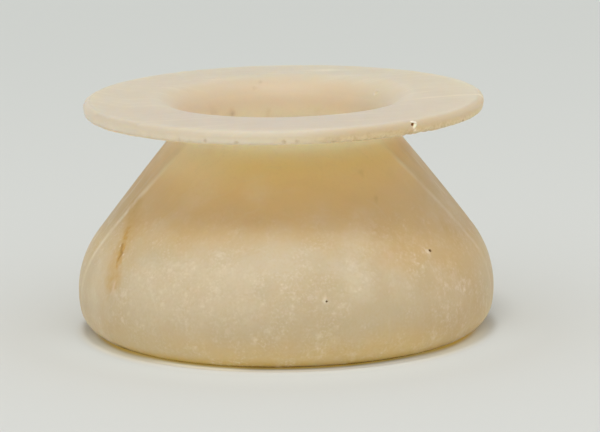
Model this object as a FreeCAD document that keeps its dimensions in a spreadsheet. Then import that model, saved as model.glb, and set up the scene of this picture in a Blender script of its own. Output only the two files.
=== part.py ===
"""A squat cosmetic jar with a wide flat rim, carved from one block of banded travertine.

The jar stands on its foot at the origin, with +Z up. Its outside is turned from one half profile: a
heel and a belly that run into each other smoothly, a straight shoulder that leaves the belly at a
tangent, a short neck that flares up to a flat rim. Its inside is cut by a second half profile: a funnel
mouth, a narrow throat and a hollow that widens under the shoulder. Sizes are in millimetres.
"""

import FreeCAD, Part

import math
import os

import Sketcher

# The driving sizes. A bend is the radius of a rounded stretch, a bevel the width of a cut corner.
SIZES = {
    "jar_height": 56.4,
    "rim_radius": 47.8,
    "rim_thickness": 3.4,
    "rim_edge_lean": 0.5,
    "rim_top_bevel": 0.4,
    "rim_lower_bevel": 0.8,
    "neck_height": 6.0,
    "neck_flare": 3.7,
    "waist_radius": 27.3,
    "body_radius": 50.0,
    "belly_height": 10.2,
    "belly_bend": 22.6,
    "heel_bend": 7.5,
    "floor_wall": 7.5,
    "floor_bevel": 8.0,
    "hollow_side": 4.5,
    "belly_wall": 10.0,
    "neck_wall": 5.3,
    "throat_depth": 9.9,
    "throat_bevel": 1.0,
    "lip_wall": 5.1,
    "lip_bend": 3.0,
    "cut_overrun": 5.0,
}

NODE = "jar"
# How a sketch numbers an edge's ends and centre, its own origin and its vertical axis.
START_INDEX, END_INDEX, CENTRE_INDEX = 1, 2, 3
ORIGIN_INDEX = (-1, 1)
VERTICAL_AXIS_INDEX = -2
FULL_TURN = 360
TOLERANCE_SHARE = 1e-6


def make_sheet(doc):
    """Writes the driving sizes to a spreadsheet, one alias to a cell."""
    sheet = doc.addObject("Spreadsheet::Sheet", "Sizes")
    for row, (name, value) in enumerate(SIZES.items(), start=1):
        sheet.set(f"A{row}", name)
        sheet.set(f"B{row}", str(value))
        sheet.setAlias(f"B{row}", name)
    doc.recompute()
    return sheet


def point(radius, height):
    """A point of a half profile: distance from the axis, height above the foot."""
    return FreeCAD.Vector(radius, height, 0)


def along(origin, towards, distance):
    """The point at a distance from the origin, in the direction of another point."""
    way = towards - origin
    return origin + way * (distance / way.Length)


def tangent_point(outside, centre, radius):
    """Where a line from an outside point touches a circle, on the side away from the jar's axis."""
    gap = centre - outside
    turn = math.asin(radius / gap.Length)
    reach = math.sqrt(gap.Length**2 - radius**2)
    heading = math.atan2(gap.y, gap.x) + turn
    return outside + point(math.cos(heading), math.sin(heading)) * reach


class HalfProfile:
    """A closed outline in a body's XZ plane, drawn edge by edge, with sizes bound to the sheet."""

    def __init__(self, body, name):
        plane = next(item for item in body.Origin.OriginFeatures if item.Role == "XZ_Plane")
        self.sketch = body.newObject("Sketcher::SketchObject", name)
        self.sketch.AttachmentSupport = [(plane, "")]
        self.sketch.MapMode = "FlatFace"
        self.edges = []

    def line(self, start, end, smooth=False):
        """A straight edge; smooth says that it runs on from the edge before it without a corner."""
        return self._chain(Part.LineSegment(start, end), smooth)

    def arc(self, centre, start, end):
        """A round edge that runs on smoothly from the edge before it, counterclockwise."""
        circle = Part.Circle(centre, FreeCAD.Vector(0, 0, 1), (start - centre).Length)
        return self._chain(Part.ArcOfCircle(circle, circle.parameter(start), circle.parameter(end)), True)

    def _chain(self, curve, smooth):
        index = self.sketch.addGeometry(curve, False)
        if self.edges:
            self.rule("Tangent" if smooth else "Coincident", self.edges[-1], END_INDEX, index, START_INDEX)
        self.edges.append(index)
        return index

    def close(self):
        """Joins the last edge to the start of the first."""
        self.rule("Coincident", self.edges[-1], END_INDEX, self.edges[0], START_INDEX)

    def rule(self, kind, *where):
        """A constraint with no size of its own."""
        self.sketch.addConstraint(Sketcher.Constraint(kind, *where))

    def bend(self, name, arc):
        """The radius of an arc, which is the size of the same name."""
        self._size("Radius", name, f"Sizes.{name}", arc)

    def out(self, name, formula, edge, end):
        """How far one end, or the centre, of an edge is from the axis."""
        self._size("DistanceX", name, formula, *ORIGIN_INDEX, edge, end)

    def up(self, name, formula, edge, end):
        """How far one end, or the centre, of an edge is above the foot."""
        self._size("DistanceY", name, formula, *ORIGIN_INDEX, edge, end)

    def _size(self, kind, name, formula, *where):
        value = self.sketch.evalExpression(formula)
        index = self.sketch.addConstraint(Sketcher.Constraint(kind, *where, value))
        self.sketch.renameConstraint(index, name)
        self.sketch.setExpression(f"Constraints.{name}", formula)


def draw_outside(body, s):
    """The half profile of the block: foot, heel, belly, shoulder, neck, rim and the axis."""
    underside = s.jar_height - s.rim_thickness
    belly_centre = point(s.body_radius - s.belly_bend, s.belly_height)
    heel_drop = s.belly_height - s.heel_bend
    heel_reach = math.sqrt((s.belly_bend - s.heel_bend) ** 2 - heel_drop**2)
    heel_centre = point(belly_centre.x + heel_reach, s.heel_bend)

    foot_end = point(heel_centre.x, 0)
    heel_end = along(belly_centre, heel_centre, s.belly_bend)
    shoulder_end = point(s.waist_radius, underside - s.neck_height)
    belly_end = tangent_point(shoulder_end, belly_centre, s.belly_bend)
    neck_end = point(s.waist_radius + s.neck_flare, underside)
    rim_lower = point(s.rim_radius - s.rim_edge_lean, underside)
    rim_top = point(s.rim_radius, s.jar_height)

    profile = HalfProfile(body, "OutsideProfile")
    foot = profile.line(point(0, 0), foot_end)
    heel = profile.arc(heel_centre, foot_end, heel_end)
    belly = profile.arc(belly_centre, heel_end, belly_end)
    shoulder = profile.line(belly_end, shoulder_end, smooth=True)
    neck = profile.line(shoulder_end, neck_end)
    under = profile.line(neck_end, rim_lower)
    edge = profile.line(rim_lower, rim_top)
    top = profile.line(rim_top, point(0, s.jar_height))
    axis = profile.line(point(0, s.jar_height), point(0, 0))
    profile.close()

    profile.rule("Coincident", foot, START_INDEX, *ORIGIN_INDEX)
    for level in (foot, under, top):
        profile.rule("Horizontal", level)
    profile.rule("Vertical", axis)
    profile.bend("heel_bend", heel)
    profile.bend("belly_bend", belly)
    profile.out("belly_centre_out", "Sizes.body_radius - Sizes.belly_bend", belly, CENTRE_INDEX)
    profile.up("belly_centre_up", "Sizes.belly_height", belly, CENTRE_INDEX)
    profile.out("waist_out", "Sizes.waist_radius", shoulder, END_INDEX)
    profile.up("waist_up", "Sizes.jar_height - Sizes.rim_thickness - Sizes.neck_height", shoulder, END_INDEX)
    profile.out("neck_end_out", "Sizes.waist_radius + Sizes.neck_flare", neck, END_INDEX)
    profile.out("rim_lower_out", "Sizes.rim_radius - Sizes.rim_edge_lean", edge, START_INDEX)
    profile.up("rim_lower_up", "Sizes.jar_height - Sizes.rim_thickness", edge, START_INDEX)
    profile.out("rim_top_out", "Sizes.rim_radius", edge, END_INDEX)
    profile.up("rim_top_up", "Sizes.jar_height", edge, END_INDEX)
    return profile.sketch


def draw_inside(body, s):
    """The half profile of the hollow: floor, floor bevel, side, undercut, funnel and the axis."""
    cut_height = s.jar_height + s.cut_overrun
    hollow_radius = s.body_radius - s.belly_wall
    side_start = point(hollow_radius, s.floor_wall + s.floor_bevel)
    side_end = point(hollow_radius, side_start.y + s.hollow_side)
    throat = point(s.waist_radius - s.neck_wall, s.jar_height - s.throat_depth)
    mouth = point(throat.x + s.lip_wall, s.jar_height)

    floor_start = point(0, s.floor_wall)
    floor_end = point(hollow_radius - s.floor_bevel, s.floor_wall)
    funnel_end = throat + (mouth - throat) * ((cut_height - throat.y) / s.throat_depth)
    cut_end = point(0, cut_height)

    profile = HalfProfile(body, "InsideProfile")
    floor = profile.line(floor_start, floor_end)
    bevel = profile.line(floor_end, side_start)
    side = profile.line(side_start, side_end)
    undercut = profile.line(side_end, throat)
    funnel = profile.line(throat, funnel_end)
    lid = profile.line(funnel_end, cut_end)
    axis = profile.line(cut_end, floor_start)
    profile.close()

    for level in (floor, lid):
        profile.rule("Horizontal", level)
    profile.rule("Vertical", side)
    for end in (START_INDEX, END_INDEX):
        profile.rule("PointOnObject", axis, end, VERTICAL_AXIS_INDEX)
    hollow_out = "Sizes.body_radius - Sizes.belly_wall"
    side_up = "Sizes.floor_wall + Sizes.floor_bevel"
    profile.out("floor_out", f"{hollow_out} - Sizes.floor_bevel", bevel, START_INDEX)
    profile.up("floor_up", "Sizes.floor_wall", bevel, START_INDEX)
    profile.out("side_out", hollow_out, side, START_INDEX)
    profile.up("side_up", side_up, side, START_INDEX)
    profile.up("side_end_up", f"{side_up} + Sizes.hollow_side", side, END_INDEX)
    profile.out("throat_out", "Sizes.waist_radius - Sizes.neck_wall", undercut, END_INDEX)
    profile.up("throat_up", "Sizes.jar_height - Sizes.throat_depth", undercut, END_INDEX)
    funnel_reach = "Sizes.lip_wall * (Sizes.throat_depth + Sizes.cut_overrun) / Sizes.throat_depth"
    profile.out("cut_out", f"Sizes.waist_radius - Sizes.neck_wall + {funnel_reach}", funnel, END_INDEX)
    profile.up("cut_up", "Sizes.jar_height + Sizes.cut_overrun", funnel, END_INDEX)
    return profile.sketch


def circle_at(shape, radius, height):
    """The name of the whole circle of a shape that has this radius and height."""
    near = TOLERANCE_SHARE * radius
    for number, edge in enumerate(shape.Edges, start=1):
        if not isinstance(edge.Curve, Part.Circle) or not edge.isClosed():
            continue
        if abs(edge.Curve.Radius - radius) < near and abs(edge.Curve.Center.z - height) < near:
            return f"Edge{number}"
    raise RuntimeError(f"no edge of radius {radius} at height {height}")


def turn(body, kind, name, sketch):
    """A full turn of a half profile about the jar's axis: a Revolution adds stone, a Groove cuts it."""
    feature = body.newObject(f"PartDesign::{kind}", name)
    feature.Profile = sketch
    feature.ReferenceAxis = (sketch, ["V_Axis"])
    feature.Angle = FULL_TURN
    sketch.Visibility = False
    body.Document.recompute()
    return feature


def soften(body, name, radius, height, size_name):
    """Softens one circular edge of the last feature: a bend by a Fillet, a bevel by a Chamfer."""
    base = body.Tip
    kind, measure = ("Fillet", "Radius") if size_name.endswith("bend") else ("Chamfer", "Size")
    feature = body.newObject(f"PartDesign::{kind}", name)
    feature.Base = (base, [circle_at(base.Shape, radius, height)])
    feature.setExpression(measure, f"Sizes.{size_name}")
    body.Document.recompute()
    return feature


def make_jar(doc, s):
    """The whole jar as one body: turned outside, cut hollow, softened edges."""
    body = doc.addObject("PartDesign::Body", NODE)
    body.Label = NODE
    block = turn(body, "Revolution", "Block", draw_outside(body, s))
    solid_volume = block.Shape.Volume
    hollow = turn(body, "Groove", "Hollow", draw_inside(body, s))
    if not hollow.Shape.Volume < solid_volume:
        raise RuntimeError("the hollow cut nothing")

    underside = s.jar_height - s.rim_thickness
    throat_radius = s.waist_radius - s.neck_wall
    soften(body, "Throat", throat_radius, s.jar_height - s.throat_depth, "throat_bevel")
    soften(body, "Lip", throat_radius + s.lip_wall, s.jar_height, "lip_bend")
    soften(body, "RimTopEdge", s.rim_radius, s.jar_height, "rim_top_bevel")
    soften(body, "RimLowerEdge", s.rim_radius - s.rim_edge_lean, underside, "rim_lower_bevel")
    return body


def check(doc, body):
    """Stops if any feature failed, a sketch is loose, or the jar isn't one closed solid."""
    for item in doc.Objects:
        if "Invalid" in item.State or "Error" in item.State:
            raise RuntimeError(f"{item.Name} failed: {item.State}")
        if item.TypeId == "Sketcher::SketchObject" and not item.FullyConstrained:
            raise RuntimeError(f"{item.Name} is not fully constrained")
    shape = body.Shape
    if shape.isNull() or not shape.isValid() or len(shape.Solids) != 1:
        raise RuntimeError(f"{body.Label} is not one valid solid")


def main():
    """Builds the document and writes the jar's STEP file."""
    doc = FreeCAD.newDocument("CosmeticJar")
    sheet = make_sheet(doc)
    jar = make_jar(doc, sheet)
    doc.recompute()
    check(doc, jar)
    os.makedirs("parts", exist_ok=True)
    jar.Shape.exportStep(os.path.join("parts", f"{jar.Label}.step"))
    box = jar.Shape.optimalBoundingBox(False, False)
    print(f"{jar.Label}: {box.XLength:.2f} x {box.YLength:.2f} x {box.ZLength:.2f} mm")
    print(f"stone {jar.Shape.Volume:.0f} mm3, {len(jar.Shape.Faces)} faces")


main()
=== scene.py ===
"""A squat cosmetic jar with a wide flat rim, carved from one block of banded travertine.

The jar is one piece of stone. Geometry Nodes turn its half profile about the upright axis, then wear and
blemishes are cut into the mesh, and one material paints the bedding, veins, clouds and stains. The sizes
of the jar's shape and of the zones of its stone are in millimetres, like those whose names end in mm. Other
lengths are in metres, and most of them are written with MM.
"""

import logging
import math
import random
from dataclasses import dataclass, field
from enum import Enum

import bmesh
import bpy
import numpy as np
from mathutils import Matrix, Vector, noise
from mathutils.bvhtree import BVHTree


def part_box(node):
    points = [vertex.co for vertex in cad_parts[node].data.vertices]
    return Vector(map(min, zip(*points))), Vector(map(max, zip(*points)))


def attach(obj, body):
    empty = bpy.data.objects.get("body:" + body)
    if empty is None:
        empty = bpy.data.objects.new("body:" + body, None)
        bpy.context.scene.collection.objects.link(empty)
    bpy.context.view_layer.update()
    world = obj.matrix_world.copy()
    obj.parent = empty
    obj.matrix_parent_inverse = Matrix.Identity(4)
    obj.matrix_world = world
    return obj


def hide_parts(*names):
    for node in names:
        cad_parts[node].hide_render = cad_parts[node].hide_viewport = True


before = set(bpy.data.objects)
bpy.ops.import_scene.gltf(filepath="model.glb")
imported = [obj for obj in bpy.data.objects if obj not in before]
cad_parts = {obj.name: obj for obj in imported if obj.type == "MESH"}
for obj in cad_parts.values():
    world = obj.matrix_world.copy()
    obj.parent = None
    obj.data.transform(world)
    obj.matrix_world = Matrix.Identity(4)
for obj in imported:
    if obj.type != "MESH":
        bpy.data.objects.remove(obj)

LOG = logging.getLogger("jar")
MM = 0.001
NODE = "jar"
BODY = "root"
PIECE = "travertine_jar"
BLEMISHES = "Blemishes"
NOISE_MIDDLE = 0.5
LEAST_SQUARED_LENGTH = MM**4
FEWEST_IN_ARC = 2
FEWEST_IN_BEND = 3

Colour = tuple[float, float, float, float]
Point = tuple[float, float]
Span = tuple[float, float]


def colour(red: float, green: float, blue: float) -> Colour:
    """An opaque colour from its three linear parts."""
    return (red, green, blue, 1.0)


@dataclass(frozen=True)
class Lumps:
    """A noise: how far apart its lumps are, how many finer layers it has, and which of the noises it is."""

    size: float
    detail: float
    seed: float


@dataclass(frozen=True)
class Signal:
    """The output of a node. Python's operators on it add the nodes that work out the result."""

    board: "Board"
    socket: bpy.types.NodeSocket

    def __add__(self, other: "Signal | float") -> "Signal":
        """This signal plus another."""
        return self.board.math("ADD", self, other)

    def __radd__(self, other: float) -> "Signal":
        """A number plus this signal."""
        return self.board.math("ADD", other, self)

    def __sub__(self, other: "Signal | float") -> "Signal":
        """This signal less another."""
        return self.board.math("SUBTRACT", self, other)

    def __rsub__(self, other: float) -> "Signal":
        """A number less this signal."""
        return self.board.math("SUBTRACT", other, self)

    def __mul__(self, other: "Signal | float") -> "Signal":
        """This signal times another."""
        return self.board.math("MULTIPLY", self, other)

    def __rmul__(self, other: float) -> "Signal":
        """A number times this signal."""
        return self.board.math("MULTIPLY", other, self)

    def __truediv__(self, other: "Signal | float") -> "Signal":
        """This signal divided by another."""
        return self.board.math("DIVIDE", self, other)

    def __rtruediv__(self, other: float) -> "Signal":
        """A number divided by this signal."""
        return self.board.math("DIVIDE", other, self)

    def __abs__(self) -> "Signal":
        """This signal without its sign."""
        return self.board.math("ABSOLUTE", self)

    def step(self, low: float, high: float) -> "Signal":
        """A smooth change from 0 to 1 between two values; it falls where low is above high.

        Args:
            low: The value at which the result is 0.
            high: The value at which the result is 1.

        Returns:
            The smooth step.
        """
        sockets = {"Value": self, "From Min": low, "From Max": high}
        return self.board.add("ShaderNodeMapRange", {"interpolation_type": "SMOOTHSTEP"}, sockets)

    def over(self, span: Span) -> "Signal":
        """The smooth step over a span, which gives the values where it is 0 and 1."""
        return self.step(*span)

    def peak(self, centre: float, half_width: float) -> "Signal":
        """A smooth bump that is 1 at the centre and 0 a half width away on either side."""
        return abs(self - centre).step(half_width, 0.0)


class Board:
    """A node tree, to which nodes are added from the inputs on."""

    mix_first: int = 6
    mix_second: int = 7
    mix_result: int = 2
    speck_edge: Span = (0.6, 0.0)
    speck_chances: Span = (0.3, 1.0)

    def __init__(self, tree: bpy.types.NodeTree) -> None:
        """Keeps the tree that the nodes go into."""
        self.tree = tree

    def node(
        self,
        kind: str,
        settings: dict[str, object] | None = None,
        sockets: dict[str | int, object] | None = None,
    ) -> bpy.types.Node:
        """Makes a node: its settings first, then the values or links of its sockets.

        Args:
            kind: The node's type.
            settings: Its properties by name.
            sockets: A signal or a plain value for each input, by name or place.

        Returns:
            The node.
        """
        made = self.tree.nodes.new(kind)
        for name, value in (settings or {}).items():
            setattr(made, name, value)
        for key, value in (sockets or {}).items():
            if isinstance(value, Signal):
                self.tree.links.new(value.socket, made.inputs[key])
            else:
                made.inputs[key].default_value = value
        return made

    def add(
        self,
        kind: str,
        settings: dict[str, object] | None = None,
        sockets: dict[str | int, object] | None = None,
        output: str | int = 0,
    ) -> Signal:
        """Makes a node and gives one of its outputs, named or counted from 0."""
        return Signal(self, self.node(kind, settings, sockets).outputs[output])

    def math(self, operation: str, *values: Signal | float) -> Signal:
        """A Math node on signals and numbers."""
        return self.add("ShaderNodeMath", {"operation": operation}, dict(enumerate(values)))

    def vector(self, operation: str, *values: Signal | tuple[float, ...]) -> Signal:
        """A Vector Math node on vectors."""
        return self.add("ShaderNodeVectorMath", {"operation": operation}, dict(enumerate(values)))

    def scaled(self, vector: Signal | tuple[float, ...], factor: Signal | float) -> Signal:
        """A vector times a number."""
        return self.add("ShaderNodeVectorMath", {"operation": "SCALE"}, {0: vector, "Scale": factor})

    def combined(self, x: Signal | float, y: Signal | float, z: Signal | float) -> Signal:
        """A vector from its three parts."""
        return self.add("ShaderNodeCombineXYZ", sockets={"X": x, "Y": y, "Z": z})

    def parts(self, vector: Signal) -> tuple[Signal, Signal, Signal]:
        """The three parts of a vector."""
        made = self.node("ShaderNodeSeparateXYZ", sockets={0: vector})
        return tuple(Signal(self, made.outputs[axis]) for axis in "XYZ")

    def blend(self, share: Signal | float, first: Signal | Colour, second: Signal | Colour) -> Signal:
        """A mix of two colours, from the first at share 0 to the second at share 1."""
        sockets = {0: share, self.mix_first: first, self.mix_second: second}
        return self.add("ShaderNodeMix", {"data_type": "RGBA"}, sockets, self.mix_result)

    def cloud(self, place: Signal, lumps: Lumps) -> Signal:
        """Noise about 0, mostly within 0.25 of it.

        Args:
            place: Where the noise is read.
            lumps: Which noise it is, with its size in the place's unit.

        Returns:
            The noise.
        """
        sockets = {"Vector": place, "W": lumps.seed, "Scale": 1.0 / lumps.size, "Detail": lumps.detail}
        return self.add("ShaderNodeTexNoise", {"noise_dimensions": "4D"}, sockets) - NOISE_MIDDLE

    def specks(self, place: Signal, size: float) -> Signal:
        """Soft round specks of uneven strength.

        Args:
            place: Where they are read.
            size: How far apart they are, in the place's unit.

        Returns:
            A signal from 0 between the specks to 1 in the middle of the strongest.
        """
        cells = self.node("ShaderNodeTexVoronoi", sockets={"Vector": place, "Scale": 1.0 / size})
        chance, _, _ = self.parts(Signal(self, cells.outputs["Color"]))
        near = Signal(self, cells.outputs["Distance"]).over(self.speck_edge)
        return near * chance.over(self.speck_chances)


@dataclass(frozen=True)
class PhotoView:
    """Where the photograph was taken from, so that its pixels can be followed onto the jar."""

    distance: float = 0.9969
    elevation: float = math.radians(12.88)
    roll: float = math.radians(0.887)
    pitch_up: float = math.radians(1.532)
    yaw_right: float = math.radians(0.183)
    lens_mm: float = 247.26
    sensor_mm: float = 36.0
    width_px: float = 600.0
    height_px: float = 432.0
    seen_between: Span = (0.05, 50.0)

    def pose(self) -> Matrix:
        """The camera's place and turn.

        Returns:
            The camera's matrix in the jar's frame.
        """
        place = Vector((0.0, -math.cos(self.elevation), math.sin(self.elevation))) * self.distance
        facing = (-place).to_track_quat("-Z", "Y").to_matrix().to_4x4()
        turns = Matrix.Rotation(-self.roll, 4, "Z")
        turns = turns @ Matrix.Rotation(self.pitch_up, 4, "X") @ Matrix.Rotation(-self.yaw_right, 4, "Y")
        return Matrix.Translation(place) @ facing @ turns

    def make_camera(self) -> bpy.types.Object:
        """Adds the scene's camera.

        Returns:
            The camera object.
        """
        data = bpy.data.cameras.new("photo_camera")
        data.lens = self.lens_mm
        data.sensor_width = self.sensor_mm
        data.clip_start, data.clip_end = self.seen_between
        camera = bpy.data.objects.new("photo_camera", data)
        bpy.context.scene.collection.objects.link(camera)
        camera.matrix_world = self.pose()
        bpy.context.scene.camera = camera
        return camera

    def ray(self, x_px: float, y_px: float) -> tuple[Vector, Vector]:
        """The line of sight through a pixel.

        Args:
            x_px: The pixel's distance from the photograph's left side.
            y_px: The pixel's distance from its top.

        Returns:
            Where the line starts and its direction.
        """
        pixels_deep = self.lens_mm / self.sensor_mm * self.width_px
        seen = Vector((x_px - self.width_px / 2, self.height_px / 2 - y_px, -pixels_deep))
        pose = self.pose()
        return pose.translation, (pose.to_3x3() @ seen).normalized()


class Stain(Enum):
    """Which part of the blemish attribute notes a stain."""

    SOIL = 0
    IRON = 1
    BLOOM = 2


class Flaw(Enum):
    """What kind of blemish a place on the stone has: its stain, and how far that spreads past the cut."""

    PIT = (Stain.SOIL, 1.05)
    WORN_PIT = (Stain.SOIL, 1.9)
    CHIP = (Stain.BLOOM, 1.25)
    CRACK = (Stain.SOIL, 1.3)
    SOIL = (Stain.SOIL, 1.0)
    IRON = (Stain.IRON, 1.0)
    BLOOM = (Stain.BLOOM, 1.0)

    @property
    def stain(self) -> Stain:
        """The stain that this kind of blemish leaves."""
        return self.value[0]

    @property
    def spread(self) -> float:
        """How wide the stain is for each unit of the blemish's radius."""
        return self.value[1]


@dataclass(frozen=True)
class Blemish:
    """A blemish with its real size, at one pixel of the photograph or along a line of them."""

    name: str
    flaw: Flaw
    route_px: tuple[Point, ...]
    radius_mm: float
    depth_mm: float = 0.0
    strength: float = 1.0


def spot(name: str, x_px: float, y_px: float, flaw: Flaw, **sizes: float) -> Blemish:
    """A blemish at one pixel, with its radius and, if it has them, its depth and strength."""
    return Blemish(name, flaw, ((x_px, y_px),), **sizes)


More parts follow.
